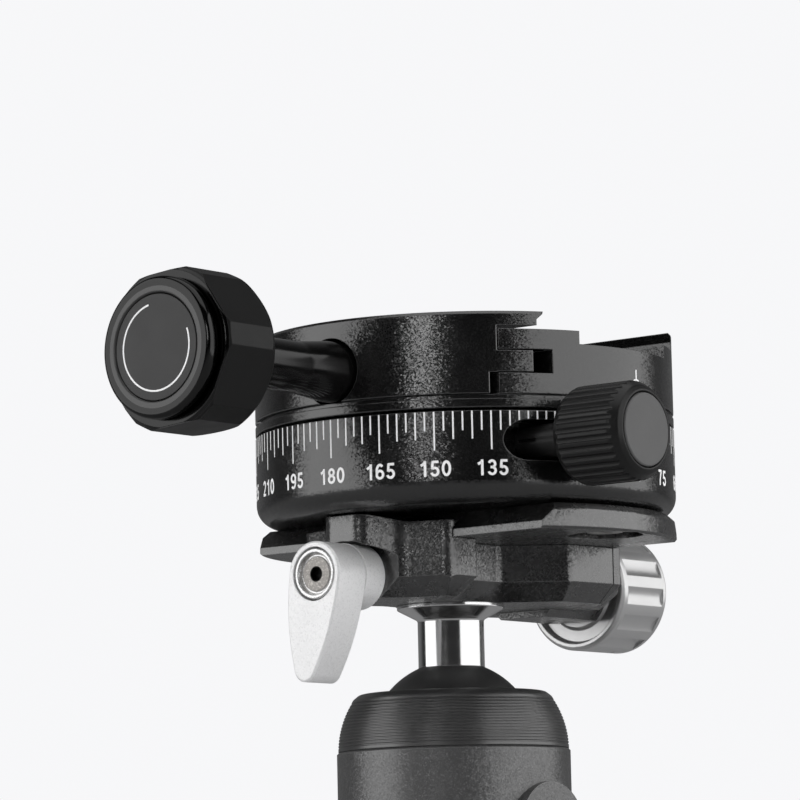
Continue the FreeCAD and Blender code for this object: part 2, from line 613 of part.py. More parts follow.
def ball_lock_bush():
    """Plain bush in the boss that guides the lock screw."""
    far = HOUSING_RADIUS + LOCK_BOSS_PROUD
    bush = rod_x(LOCK_BORE_RADIUS - FIT, WEDGE_LENGTH / 2 + 2.0, far, 0, LOCK_AXIS_Z)
    return bush.cut(rod_x(LOCK_SCREW_RADIUS + RUN, 0, far + 1, 0, LOCK_AXIS_Z))


# ---------------------------------------------------------------- base pan lock
def base_lock_knob():
    near = HOUSING_RADIUS + BASE_KNOB_STANDOFF
    end = -near - BASE_KNOB_LENGTH
    bore = BASE_SCREW_RADIUS + FIT
    knob = turned_x([(bore, -near), (BASE_KNOB_RADIUS - 1, -near), (BASE_KNOB_RADIUS, -near - 1),
                     (BASE_KNOB_RADIUS, end + 1.2), (BASE_KNOB_RADIUS - 1.2, end), (0, end),
                     (0, end + BASE_KNOB_CAP), (bore, end + BASE_KNOB_CAP)], 0, BASE_LOCK_Z)
    flute = rod_x(BASE_KNOB_FLUTE_RADIUS, end - 1, 1 - near, 0, BASE_LOCK_Z + BASE_KNOB_RADIUS + 0.25)
    flutes = []
    for i in range(BASE_KNOB_FLUTES):
        copy = flute.copy()
        copy.rotate(Vector(0, 0, BASE_LOCK_Z), X_AXIS, i * 360 / BASE_KNOB_FLUTES)
        flutes.append(copy)
    return knob.cut(Part.makeCompound(flutes))


def base_lock_screw():
    """Screw that presses the brake shoe, with a flange against the knob."""
    shoe_back = SPINDLE_RADIUS + BASE_SHOE_TRAVEL + SEAT + BASE_SHOE_LENGTH
    near = HOUSING_RADIUS + BASE_KNOB_STANDOFF
    back = -near - BASE_KNOB_LENGTH + BASE_KNOB_CAP + 2 * SEAT
    screw = rod_x(BASE_SCREW_RADIUS, back, -shoe_back - GAP, 0, BASE_LOCK_Z)
    flange = rod_x(BASE_SCREW_FLANGE_RADIUS, FIT - near, -HOUSING_RADIUS - GAP, 0, BASE_LOCK_Z)
    return screw.fuse(flange)


def base_brake_shoe():
    tip = SPINDLE_RADIUS + BASE_SHOE_TRAVEL + SEAT
    return rod_x(BASE_SCREW_RADIUS, -tip - BASE_SHOE_LENGTH, -tip, 0, BASE_LOCK_Z)


# ---------------------------------------------------------------- ball and stem
def ball():
    cup_top = BALL_Z + math.sqrt(BALL_RADIUS ** 2 - STEM_RADIUS ** 2)
    sphere = Part.makeSphere(BALL_RADIUS, Vector(0, 0, BALL_Z))
    sphere = sphere.cut(rod_z(STEM_RADIUS + FIT, cup_top, cup_top + 10))
    return sphere.cut(rod_z(STEM_SPIGOT_RADIUS + FIT, cup_top - STEM_SPIGOT_LENGTH, cup_top + 5))


def stem():
    """Polished steel neck: spigot in the ball, waist, cone and the flange under the clamp."""
    foot = BALL_Z + math.sqrt(BALL_RADIUS ** 2 - STEM_RADIUS ** 2)
    neck = turned([
        (0, foot - STEM_SPIGOT_LENGTH + FIT), (STEM_SPIGOT_RADIUS, foot - STEM_SPIGOT_LENGTH + FIT),
        (STEM_SPIGOT_RADIUS, foot + FIT), (STEM_RADIUS, foot + FIT), (STEM_RADIUS, STEM_TOP, 0.6),
        (FLANGE_RADIUS, STEM_TOP + FLANGE_CONE_HEIGHT, 0.3),
        (FLANGE_RADIUS, CLAMP_Z - FIT), (0, CLAMP_Z - FIT),
    ])
    return neck.cut(rod_z(CLAMP_SCREW_RADIUS + FIT, CLAMP_FLOOR - CLAMP_SCREW_LENGTH - 4, CLAMP_Z + 1))


def clamp_screw():
    """Socket screw through the clamp floor into the stem."""
    head_top = CLAMP_FLOOR - CLAMP_SCREW_SUNK
    seat = head_top - CLAMP_SCREW_HEAD_HEIGHT
    screw = rod_z(CLAMP_SCREW_HEAD_RADIUS, seat, head_top)
    screw = screw.fuse(rod_z(CLAMP_SCREW_RADIUS, head_top - CLAMP_SCREW_LENGTH, seat))
    return screw.cut(plate_z(hexagon(CLAMP_SCREW_SOCKET), seat, head_top + 1))


# ---------------------------------------------------------------- lever clamp
def lip_cut(face, floor, top):
    """Dovetail opening between a jaw's lip and the floor, as (y, z) corners on the +Y side."""
    flank = face - DOVETAIL_FLANK
    knee = top - DOVETAIL_FLANK
    return [(-1, floor), (face, floor), (face, knee), (flank, top), (flank, top + 5), (-1, top + 5)]


def clamp_outline(corner):
    """Plan of the fixed half of the clamp: lobe over the lever, lips, waist and rear ears.

    The outward corners are rounded by their radius times corner."""
    lip, ear, waist = CLAMP_FRONT_WIDTH / 2, CLAMP_EAR_WIDTH / 2, CLAMP_WAIST_WIDTH / 2
    lobe = CLAMP_LOBE_WIDTH / 2
    right = [(lobe - 1.6, -CLAMP_LOBE_FRONT, 3.0 * corner), (lobe + 2.6, -CLAMP_FRONT - 2.4, 5.0),
             (lip, -CLAMP_FRONT, 2.5 * corner), (lip, -13.0, 0.5 * corner), (waist, -8.6, 2.0),
             (waist + 0.3, -0.8, 2.0), (ear - 1.0, 7.4, 2.0 * corner), (ear, CLAMP_SPLIT)]
    left = [(-c[0],) + c[1:] for c in reversed(right)]
    return right + left


def chamfered_foot(sharp, rounded, back):
    """Chamfer the foot of a sharp-cornered clamp half, then round its upright corners.

    The edge that lies in the plane y = back is left alone."""
    foot = [e for e in sharp.Edges if e.BoundBox.ZMax - CLAMP_Z < 1e-6
            and abs(e.BoundBox.YMin - back) + abs(e.BoundBox.YMax - back) > 1e-6]
    return sharp.makeChamfer(CLAMP_CHAMFER, foot).common(rounded)


def lower_clamp_body():
    lobe_top = CLAMP_TOP + CLAMP_LOBE_RISE
    body = chamfered_foot(plate_z(clamp_outline(0), CLAMP_Z, lobe_top),
                          plate_z(clamp_outline(1), CLAMP_Z, lobe_top), CLAMP_SPLIT)
    span = CLAMP_EAR_WIDTH
    for side in (-1, 1):
        shoulder = [(side * span, CLAMP_TOP), (side * 8.6, CLAMP_TOP, 5.0), (side * 4.4, lobe_top, 5.0),
                    (side * 2.0, lobe_top), (side * 2.0, lobe_top + 2), (side * span, lobe_top + 2)]
        body = body.cut(bar_y(shoulder, -CLAMP_LOBE_FRONT - 1, CLAMP_SPLIT + 1))
    opening = [(-y, z) for y, z in lip_cut(JAW_FACE, CLAMP_FLOOR, CLAMP_TOP)]
    body = body.cut(bar_x(opening, -span, span))
    body = body.cut(block(-span, span, -1, CLAMP_SPLIT + 5, CLAMP_FLOOR, CLAMP_TOP + 5))
    # arch that the lever's hub turns in, and the curved cut on both sides of it
    hub_room = LEVER_HUB_RADIUS + GAP
    hub_back = hub_recess_floor()
    arch_top = LEVER_Z + hub_room - 0.1
    body = body.cut(rod_y(hub_room, -CLAMP_LOBE_FRONT - 5, -hub_back, 0, LEVER_Z))
    slope = [(0, CLAMP_Z - 2), (13.5, CLAMP_Z - 2), (10.6, LEVER_Z, 1.0), (6.4, LEVER_Z + 4.2, 8.0),
             (2.6, arch_top, 4.0), (0, arch_top)]
    for side in (-1, 1):
        body = body.cut(bar_y([(side * c[0],) + c[1:] for c in slope], -CLAMP_LOBE_FRONT - 5, -hub_back))
    # lever screw, draw bar, clamp screw, guide pins and springs
    body = body.cut(rod_y(LEVER_SCREW_RADIUS + GAP, -CLAMP_LOBE_FRONT, 0, 0, LEVER_Z))
    body = body.cut(yoke_channel())
    head_seat = CLAMP_FLOOR - CLAMP_SCREW_SUNK - CLAMP_SCREW_HEAD_HEIGHT
    body = body.cut(rod_z(CLAMP_SCREW_HEAD_RADIUS + GAP, head_seat - FIT, CLAMP_FLOOR + 1))
    body = body.cut(rod_z(CLAMP_SCREW_RADIUS + GAP, CLAMP_Z - 1, CLAMP_FLOOR + 1))
    for side in (-1, 1):
        pin_x = side * GUIDE_PIN_SPACING / 2
        body = body.cut(rod_y(GUIDE_PIN_RADIUS + FIT, CLAMP_SPLIT - GUIDE_PIN_LENGTH / 2, CLAMP_SPLIT + 1,
                              pin_x, ROD_Z))
        spring_x = side * JAW_SPRING_SPACING / 2
        body = body.cut(rod_y(JAW_SPRING_RADIUS + 2 * SEAT, CLAMP_SPLIT - JAW_SPRING_POCKET, CLAMP_SPLIT + 1,
                              spring_x, ROD_Z))
    return body


def hub_recess_floor():
    """Distance of the recess behind the lever's hub from the ball axis."""
    return LEVER_FACE - LEVER_THICKNESS - LEVER_HUB_LENGTH - SEAT


def lower_clamp_jaw():
    """Moving rear jaw: its lip lies over the clamp floor and its boss carries the draw rod."""
    lip, ear = CLAMP_FRONT_WIDTH / 2, CLAMP_EAR_WIDTH / 2
    face = CLAMP_SPLIT + JAW_SEAM
    outline = [(-ear, face), (ear, face), (ear, face + 2.0, 0.5), (lip - 0.5, face + 7.0, 3.0),
               (lip - 3.0, JAW_REAR, 3.0), (3.0 - lip, JAW_REAR, 3.0), (0.5 - lip, face + 7.0, 3.0),
               (-ear, face + 2.0, 0.5)]
    jaw = chamfered_foot(plate_z([c[:2] for c in outline], CLAMP_Z, CLAMP_TOP),
                         plate_z(outline, CLAMP_Z, CLAMP_TOP), face)
    for side in (-1, 1):
        inner, outer = sorted((side * lip, side * (ear + 1)))
        jaw = jaw.cut(block(inner, outer, face - 1, face + 8, CLAMP_FLOOR, CLAMP_TOP + 1))
    jaw = jaw.fuse(block(-lip, lip, JAW_FACE - DOVETAIL_FLANK, face + 2, CLAMP_FLOOR + SEAT, CLAMP_TOP))
    jaw = jaw.cut(bar_x(lip_cut(JAW_FACE, CLAMP_FLOOR - SEAT, CLAMP_TOP), -lip - 1, lip + 1))
    boss = rod_y(JAW_BOSS_RADIUS, face + 2, JAW_BOSS_REAR, 0, ROD_Z)
    jaw = jaw.fuse(boss.common(block(-20, 20, 0, 60, CLAMP_Z - 1.2, CLAMP_TOP - 0.5))).removeSplitter()
    for side in (-1, 1):
        pin_x = side * GUIDE_PIN_SPACING / 2
        jaw = jaw.cut(rod_y(GUIDE_PIN_RADIUS + RUN, face - 1, CLAMP_SPLIT + GUIDE_PIN_LENGTH / 2 + GAP,
                            pin_x, ROD_Z))
    return jaw.cut(rod_y(ROD_RADIUS + FIT, 0, JAW_BOSS_REAR + 1, 0, ROD_Z))


def yoke_levels():
    """Front end of the sleeve and both ends of the eye, along Y."""
    window = CLAMP_SCREW_RADIUS + 2 * GAP
    eye_front = -window - JAW_TRAVEL - YOKE_BAR
    return eye_front - YOKE_SLEEVE_LENGTH, eye_front, window + YOKE_BAR


def rod_end():
    """Distance of the draw bar's rear end, inside the tension knob, from the ball axis."""
    return JAW_BOSS_REAR + TENSION_KNOB_LENGTH * 0.7


def draw_yoke():
    """Draw bar in one piece: threaded sleeve, eye around the clamp screw, and the rear rod."""
    front, eye_front, eye_rear = yoke_levels()
    window = CLAMP_SCREW_RADIUS + 2 * GAP
    half = window + YOKE_BAR
    low = CLAMP_Z + YOKE_FOOT
    high = low + YOKE_HEIGHT
    yoke = block(-half, half, eye_front, eye_rear, low, high)
    yoke = yoke.cut(block(-window, window, -window - JAW_TRAVEL, window, low - 1, high + 1))
    rod = rod_y(ROD_RADIUS, eye_rear, rod_end(), 0, ROD_Z)
    sleeve = rod_y(YOKE_SLEEVE_RADIUS, front, eye_front, 0, LEVER_Z)
    yoke = yoke.fuse(rod).fuse(sleeve)
    return yoke.cut(rod_y(LEVER_SCREW_RADIUS + RUN, front - 1, eye_front + YOKE_BAR + 0.5, 0, LEVER_Z))


def yoke_channel():
    """Room for the draw bar inside the clamp, open at the split."""
    front, eye_front, eye_rear = yoke_levels()
    half = CLAMP_SCREW_RADIUS + 2 * GAP + YOKE_BAR + RUN
    low = CLAMP_Z + YOKE_FOOT - GAP
    room = block(-half, half, eye_front - GAP, CLAMP_SPLIT + 1, low, low + YOKE_HEIGHT + 2 * GAP)
    room = room.fuse(rod_y(YOKE_SLEEVE_RADIUS + RUN, front - GAP, eye_front + JAW_TRAVEL + GAP, 0, LEVER_Z))
    return room.fuse(rod_y(ROD_RADIUS + RUN, eye_rear - GAP, CLAMP_SPLIT + 1, 0, ROD_Z))


def guide_pins():
    pins = []
    for side in (-1, 1):
        pins.append(rod_y(GUIDE_PIN_RADIUS, CLAMP_SPLIT - GUIDE_PIN_LENGTH / 2 + FIT,
                          CLAMP_SPLIT + GUIDE_PIN_LENGTH / 2, side * GUIDE_PIN_SPACING / 2, ROD_Z))
    return pins


def coil_spring(radius, wire, length, turns, x, y, z):
    """Compression spring along Y that starts at y."""
    pitch = (length - wire) / turns
    helix = Part.makeHelix(pitch, length - wire, radius - wire / 2)
    helix.rotate(Vector(0, 0, 0), X_AXIS, -90)
    helix.translate(Vector(x, y + wire / 2, z))
    start = helix.Edges[0].valueAt(helix.Edges[0].FirstParameter)
    tangent = helix.Edges[0].tangentAt(helix.Edges[0].FirstParameter)
    ring = Part.Wire(Part.makeCircle(wire / 2, start, tangent))
    return Part.Wire(helix).makePipeShell([ring], True, True)


def clamp_springs():
    """Two springs that push the lower jaw open."""
    start = CLAMP_SPLIT - JAW_SPRING_POCKET + FIT
    length = JAW_SPRING_POCKET + JAW_SEAM - 2 * SEAT
    return [coil_spring(JAW_SPRING_RADIUS, JAW_SPRING_WIRE, length, SPRING_TURNS,
                        side * JAW_SPRING_SPACING / 2, start, ROD_Z) for side in (-1, 1)]


# ---------------------------------------------------------------- lever
def lever():
    """Drop-shaped blade with bulging sides, bored for the screw; it hangs down when locked."""
    face, back = -LEVER_FACE, LEVER_THICKNESS - LEVER_FACE
    head, tip, side = LEVER_HEAD_RADIUS, LEVER_TIP_RADIUS, LEVER_SIDE_RADIUS
    lean = math.acos((side - head) / (side - tip))
    reach = (side - tip) * math.sin(lean)

    def at(x, z):
        return Vector(x, face, LEVER_Z + z)

    def flank(turn):
        return head - side * (1 - math.cos(turn)), -side * math.sin(turn)

    low_x, low_z = flank(lean)
    mid_x, mid_z = flank(lean / 2)
    wire = Part.Wire([Part.Arc(at(head, 0), at(mid_x, mid_z), at(low_x, low_z)).toShape(),
                      Part.Arc(at(low_x, low_z), at(0, -reach - tip), at(-low_x, low_z)).toShape(),
                      Part.Arc(at(-low_x, low_z), at(-mid_x, mid_z), at(-head, 0)).toShape(),
                      Part.Arc(at(-head, 0), at(0, head), at(head, 0)).toShape()])
    blade = Part.Face(wire).extrude(Vector(0, back - face, 0))
    rims = [e for e in blade.Edges if e.BoundBox.YMax - e.BoundBox.YMin < 1e-6]
    blade = blade.makeChamfer(LEVER_EDGE, rims)
    blade = blade.cut(rod_y(LEVER_SCREW_HEAD_RADIUS + 4 * SEAT, face - 1, face + LEVER_SCREW_HEAD_HEIGHT,
                            0, LEVER_Z))
    blade = blade.cut(rod_y(LEVER_SCREW_RADIUS + FIT, face, back + 1, 0, LEVER_Z))
    blade.rotate(Vector(0, 0, LEVER_Z), Y_AXIS, LEVER_LEAN)
    return blade


def lever_hub():
    """Round hub behind the blade that turns in the clamp's arch."""
    near = LEVER_THICKNESS - LEVER_FACE + FIT
    far = -hub_recess_floor() - SEAT
    bore = LEVER_SCREW_RADIUS + FIT
    step = 0.9
    return turned_y([(bore, near), (LEVER_HUB_RADIUS, near), (LEVER_HUB_RADIUS, far - step, 0.4),
                     (LEVER_HUB_RADIUS - step, far - step), (LEVER_HUB_RADIUS - step, far), (bore, far)],
                    0, LEVER_Z)


def lever_screw():
    """Cap screw through blade and hub; its long thread turns in the draw bar."""
    seat = LEVER_SCREW_HEAD_HEIGHT - LEVER_FACE
    top = 0.1 - LEVER_FACE
    tip = yoke_levels()[1] + LEVER_SCREW_ENTRY
    face = LEVER_SCREW_FACE_RADIUS
    head = LEVER_SCREW_HEAD_RADIUS
    screw = turned_y([(0, top + 0.5), (face, top + 0.5), (face + 0.1, top + 0.8), (face + 0.4, top + 0.8),
                      (face + 0.7, top, 0.2), (head - 0.2, top, 0.15), (head, top + 0.4), (head, seat - FIT),
                      (LEVER_SCREW_RADIUS, seat - FIT), (LEVER_SCREW_RADIUS, tip), (0, tip)], 0, LEVER_Z)
    socket = [(a, b + LEVER_Z) for a, b in hexagon(LEVER_SCREW_SOCKET)]
    return screw.cut(bar_y(socket, top, top + LEVER_SCREW_SOCKET_DEPTH))


def tension_knob():
    """Silver knob on the rear end of the draw bar, with broad shallow scallops."""
    near = JAW_BOSS_REAR + GAP * 2
    far = near + TENSION_KNOB_LENGTH
    radius = TENSION_KNOB_RADIUS
    knob = turned_y([(0, near + 1.2), (4.0, near + 1.2), (4.6, near + 0.5), (6.4, near + 0.5),
                     (7.0, near + 1.1), (radius - 1.6, near + 1.1), (radius - 1.2, near),
                     (radius - 0.5, near, 0.3), (radius, near + 0.6, 0.3), (radius, far - 0.5, 0.3),
                     (radius - 0.8, far, 0.4), (radius - 3.4, far, 0.4), (radius - 3.8, far - 0.6),
                     (0, far - 0.6)], 0, ROD_Z)
    cutter = rod_y(TENSION_SCALLOP_RADIUS, near + 1.6, far - 1.4, 0,
                   ROD_Z + radius + TENSION_SCALLOP_RADIUS - TENSION_SCALLOP_DEPTH)
    cutters = []
    for i in range(TENSION_KNOB_SCALLOPS):
        copy = cutter.copy()
        copy.rotate(Vector(0, 0, ROD_Z), Y_AXIS, (i + 0.5) * 360 / TENSION_KNOB_SCALLOPS)
        cutters.append(copy)
    knob = knob.cut(Part.makeCompound(cutters))
    return knob.cut(rod_y(ROD_RADIUS + RUN, near - 1, rod_end() + GAP, 0, ROD_Z))


# ---------------------------------------------------------------- dovetail plate
def plate_screw_places():
    """The two big recesses at the ends of the plate, mirrored about the rotator's axis."""
    return [PAN_X - PLATE_RECESS_X, PAN_X + PLATE_RECESS_X]


def dovetail_plate():
    """Round plate with both sides cut to the dovetail, wide edge down."""
    edge = DOVETAIL_WIDTH / 2
    neck = edge - (PLATE_HEIGHT - DOVETAIL_BAND)
    disc = turned([(0, PLATE_Z), (ROTATOR_RADIUS - 0.4, PLATE_Z), (ROTATOR_RADIUS, PLATE_Z + 0.4),
                   (ROTATOR_RADIUS - 0.1, RING_Z - 1.1 - FIT, 0.4), (ROTATOR_RADIUS - 1.3, RING_Z - FIT),
                   (0, RING_Z - FIT)], PAN_X, 0)
    knee, top = PLATE_Z + DOVETAIL_BAND, RING_Z
    profile = [(-edge, PLATE_Z), (edge, PLATE_Z), (edge, knee), (neck, top), (-neck, top), (-edge, knee)]
    disc = disc.common(bar_x(profile, PAN_X - ROTATOR_RADIUS - 1, PAN_X + ROTATOR_RADIUS + 1))
    for x in plate_screw_places():
        disc = disc.cut(rod_z(PLATE_RECESS_RADIUS, PLATE_Z - 1, PLATE_Z + PLATE_RECESS_DEPTH, x))
        disc = disc.cut(rod_z(PLATE_SCREW_RADIUS + FIT, PLATE_Z, RING_Z + 1, x))
    return disc


def plate_screws():
    """Two pan-head screws that hold the plate to the scale ring."""
    screws = []
    for x in plate_screw_places():
        seat = PLATE_Z + PLATE_RECESS_DEPTH - FIT
        crown = seat - PLATE_SCREW_HEAD_HEIGHT
        end = seat + PLATE_SCREW_LENGTH
        screw = turned([(0, crown), (PLATE_SCREW_HEAD_RADIUS, crown, 0.6), (PLATE_SCREW_HEAD_RADIUS, seat),
                        (PLATE_SCREW_RADIUS, seat), (PLATE_SCREW_RADIUS, end), (0, end)], x, 0)
        socket = plate_z([(a + x, b) for a, b in hexagon(PLATE_SCREW_SOCKET)], crown - 1,
                         crown + PLATE_SCREW_SOCKET_DEPTH)
        screws.append(screw.cut(socket))
    return screws


# ---------------------------------------------------------------- scale ring and what it holds
def pan_pocket():
    """Flat-bottomed pocket in the ring's side around the pan lock's stem."""
    half = PAN_POCKET_WIDTH / 2 - PAN_POCKET_RADIUS
    floor_x, out_x = PAN_X + PAN_POCKET_FLOOR, PAN_X + ROTATOR_RADIUS + 2
    pocket = block(floor_x, out_x, -PAN_LOCK_Y - half, half - PAN_LOCK_Y,
                   PAN_LOCK_Z - PAN_POCKET_RADIUS, PAN_LOCK_Z + PAN_POCKET_RADIUS)
    for side in (-1, 1):
        pocket = pocket.fuse(rod_x(PAN_POCKET_RADIUS, floor_x, out_x, side * half - PAN_LOCK_Y, PAN_LOCK_Z))
    return pocket


def scale_ring():
    """Fixed lower half of the rotator: outer wall with the degree scale, web, race and brake room."""
    race_floor = RING_TOP - CAGE_HEIGHT
    race_in, race_out = BEARING_RADIUS - CAGE_WIDTH / 2 - GAP, BEARING_RADIUS + CAGE_WIDTH / 2 + GAP
    drum = SPINDLE_DRUM_RADIUS + RUN
    ring = turned([
        (RING_FOOT_BORE, RING_Z), (ROTATOR_RADIUS, RING_Z, RING_BOTTOM_ROUND),
        (ROTATOR_RADIUS, RING_TOP - 0.15), (ROTATOR_RADIUS - 0.15, RING_TOP), (race_out, RING_TOP),
        (race_out, race_floor), (race_in, race_floor), (race_in, RING_TOP),
        (BAND_POCKET_RADIUS, RING_TOP), (BAND_POCKET_RADIUS, WEB_TOP),
        (drum, WEB_TOP), (drum, RING_Z + RING_WEB_Z), (RING_FOOT_BORE, RING_Z + RING_WEB_Z),
    ], PAN_X, 0)
    half_room = BAND_ROOM_WIDTH / 2
    ears = block(PAN_X - half_room, PAN_X + half_room, -PAN_LOCK_Y - BAND_EAR_REACH - 2 * GAP,
                 -BAND_ROOM_BACK, WEB_TOP, RING_TOP + 1)
    ring = ring.cut(ears).cut(pan_pocket())
    ring = ring.cut(rod_x(PAN_STEM_RADIUS + RUN, PAN_X + 5, PAN_X + ROTATOR_RADIUS, -PAN_LOCK_Y, PAN_LOCK_Z))
    ring = ring.cut(ball_race())
    for x in plate_screw_places():
        ring = ring.cut(rod_z(PLATE_SCREW_RADIUS + FIT, RING_Z - 1, PLATE_Z + PLATE_RECESS_DEPTH
                              + PLATE_SCREW_LENGTH + GAP, x))
    return ring


def ball_row_z():
    """Height of the ball centres, which sit deep in the ring's race."""
    return RING_TOP - CAGE_HEIGHT / 2 + 0.1


def ball_race():
    """Round groove that the balls run in, half of it in the ring and half in the rotor."""
    return Part.makeTorus(BEARING_RADIUS, BEARING_BALL_RADIUS + SEAT, Vector(PAN_X, 0, ball_row_z()))


def bearing_balls():
    balls = []
    for i in range(BEARING_BALLS):
        angle = 2 * math.pi * (i + 0.5) / BEARING_BALLS
        balls.append(Part.makeSphere(BEARING_BALL_RADIUS, Vector(
            PAN_X + BEARING_RADIUS * math.cos(angle), BEARING_RADIUS * math.sin(angle), ball_row_z())))
    return balls


def bearing_cage():
    """Flat ring that spaces the balls; it follows them at half the rotor's speed."""
    low = RING_TOP - CAGE_HEIGHT + 0.15
    cage = tube_z(BEARING_RADIUS + CAGE_WIDTH / 2, BEARING_RADIUS - CAGE_WIDTH / 2, low, RING_TOP - SEAT,
                  PAN_X, 0)
    holes = []
    for i in range(BEARING_BALLS):
        angle = 2 * math.pi * (i + 0.5) / BEARING_BALLS
        holes.append(rod_z(BEARING_BALL_RADIUS + SEAT, low - 1, RING_TOP + 1,
                           PAN_X + BEARING_RADIUS * math.cos(angle), BEARING_RADIUS * math.sin(angle)))
    return cage.cut(Part.makeCompound(holes))


def brake_band():
    """Split clamp ring around the rotor's drum; the pan lock pulls its ears together."""
    inner = SPINDLE_DRUM_RADIUS + BAND_SLIP
    low, high = WEB_TOP + SEAT, WEB_TOP + SEAT + BAND_HEIGHT
    band = tube_z(BAND_RADIUS, inner, low, high, PAN_X, 0)
    half_slot = BAND_SLOT / 2
    for side in (-1, 1):
        near, far = sorted((side * half_slot, side * (half_slot + BAND_EAR_WIDTH)))
        band = band.fuse(block(PAN_X + near, PAN_X + far, -PAN_LOCK_Y - BAND_EAR_REACH, -inner - 0.6,
                               low, high))
    band = band.cut(rod_z(inner, low - 1, high + 1, PAN_X, 0))
    shoulder = PAN_X + half_slot + BAND_EAR_WIDTH
    band = band.cut(rod_x(PAN_STEM_RADIUS + GAP, shoulder, shoulder + 9, -PAN_LOCK_Y, PAN_LOCK_Z))
    band = band.cut(block(PAN_X - half_slot, PAN_X + half_slot, -PAN_LOCK_Y - BAND_EAR_REACH - 1, -inner + 2,
                          low - 1, high + 1))
    return band.cut(rod_x(PAN_SCREW_RADIUS + RUN, PAN_X - 9, PAN_X + 9, -PAN_LOCK_Y, PAN_LOCK_Z))


def retainer_washer():
    """Wide washer under the ring's web that the rotor hangs the ring from."""
    top = RING_Z + RING_WEB_Z - SEAT
    return tube_z(RETAINER_RADIUS, RETAINER_SCREW_RADIUS + FIT, top - RETAINER_HEIGHT, top, PAN_X, 0)


def retainer_screw():
    """Cap screw up through the washer into the rotor's drum."""
    seat = RING_Z + RING_WEB_Z - SEAT - RETAINER_HEIGHT - FIT
    head = seat - RETAINER_HEAD_HEIGHT
    screw = rod_z(RETAINER_HEAD_RADIUS, head, seat, PAN_X, 0)
    screw = screw.fuse(rod_z(RETAINER_SCREW_RADIUS, seat, seat + RETAINER_SCREW_LENGTH, PAN_X, 0))
    socket = [(a + PAN_X, b) for a, b in hexagon(RETAINER_SOCKET)]
    return screw.cut(plate_z(socket, head - 1, head + RETAINER_SOCKET_DEPTH))


# ---------------------------------------------------------------- pan lock of the rotator
def pan_lock_knob():
    """Finely fluted knob with a flat face."""
    near, far = PAN_X + PAN_KNOB_NEAR, PAN_X + PAN_KNOB_NEAR + PAN_KNOB_LENGTH
    radius = PAN_KNOB_RADIUS
    bore = PAN_STEM_RADIUS + FIT
    face = far - PAN_KNOB_FACE_DEPTH
    bore_end = face - PAN_KNOB_CAP_WALL
    knob = turned_x([(bore, near), (radius - 0.9, near, 0.5), (radius, near + 1.6, 1.2),
                     (radius, far - 2.0, 1.5), (radius - 0.9, far - 0.6, 0.8),
                     (PAN_KNOB_FACE_RADIUS + 0.3, far, 0.3), (PAN_KNOB_FACE_RADIUS, face), (0, face),
                     (0, bore_end), (bore, bore_end)], -PAN_LOCK_Y, PAN_LOCK_Z)
    flute = rod_x(PAN_FLUTE_RADIUS, near - 1, far - 0.7, -PAN_LOCK_Y, PAN_LOCK_Z + radius + 0.2)
    flutes = []
    for i in range(PAN_KNOB_FLUTES):
        copy = flute.copy()
        copy.rotate(Vector(0, -PAN_LOCK_Y, PAN_LOCK_Z), X_AXIS, i * 360 / PAN_KNOB_FLUTES)
        flutes.append(copy)
    return knob.cut(Part.makeCompound(flutes))


def pan_lock_cap():
    """Flat disc let into the knob's end."""
    far = PAN_X + PAN_KNOB_NEAR + PAN_KNOB_LENGTH
    radius = PAN_KNOB_FACE_RADIUS - FIT
    back = far - PAN_KNOB_FACE_DEPTH + FIT
    return turned_x([(0, back), (radius, back), (radius, far + 0.1, 0.3), (0, far + 0.1)],
                    -PAN_LOCK_Y, PAN_LOCK_Z)


def pan_lock_stem():
    """Slit sleeve and screw in one: the shoulder presses on one ear, the thread is in the other."""
    shoulder = PAN_X + BAND_SLOT / 2 + BAND_EAR_WIDTH + SEAT
    end = PAN_X + PAN_KNOB_NEAR + PAN_KNOB_LENGTH - PAN_KNOB_FACE_DEPTH - PAN_KNOB_CAP_WALL - FIT
    stem = rod_x(PAN_STEM_RADIUS, shoulder, end, -PAN_LOCK_Y, PAN_LOCK_Z)
    stem = stem.fuse(rod_x(PAN_SCREW_RADIUS, PAN_X - BAND_SLOT / 2 - BAND_EAR_WIDTH, shoulder,
                           -PAN_LOCK_Y, PAN_LOCK_Z))
    near = PAN_X + PAN_POCKET_FLOOR + 2 * GAP
    far = near + PAN_STEM_SLIT_LENGTH
    half = PAN_STEM_SLIT / 2
    slit = block(near, far, -PAN_LOCK_Y - PAN_STEM_RADIUS - 1, PAN_STEM_RADIUS + 1 - PAN_LOCK_Y,
                 PAN_LOCK_Z - half, PAN_LOCK_Z + half)
    core = rod_x(PAN_STEM_RADIUS - PAN_STEM_SLIT_DEPTH, near - 1, far + 1, -PAN_LOCK_Y, PAN_LOCK_Z)
    return stem.cut(slit.cut(core))


# ---------------------------------------------------------------- rotor
def top_spring_places():
    """Both springs lie level with the lock screw, one on each side of it."""
    return [PAN_X - TOP_SPRING_SPACING / 2, PAN_X + TOP_SPRING_SPACING / 2]


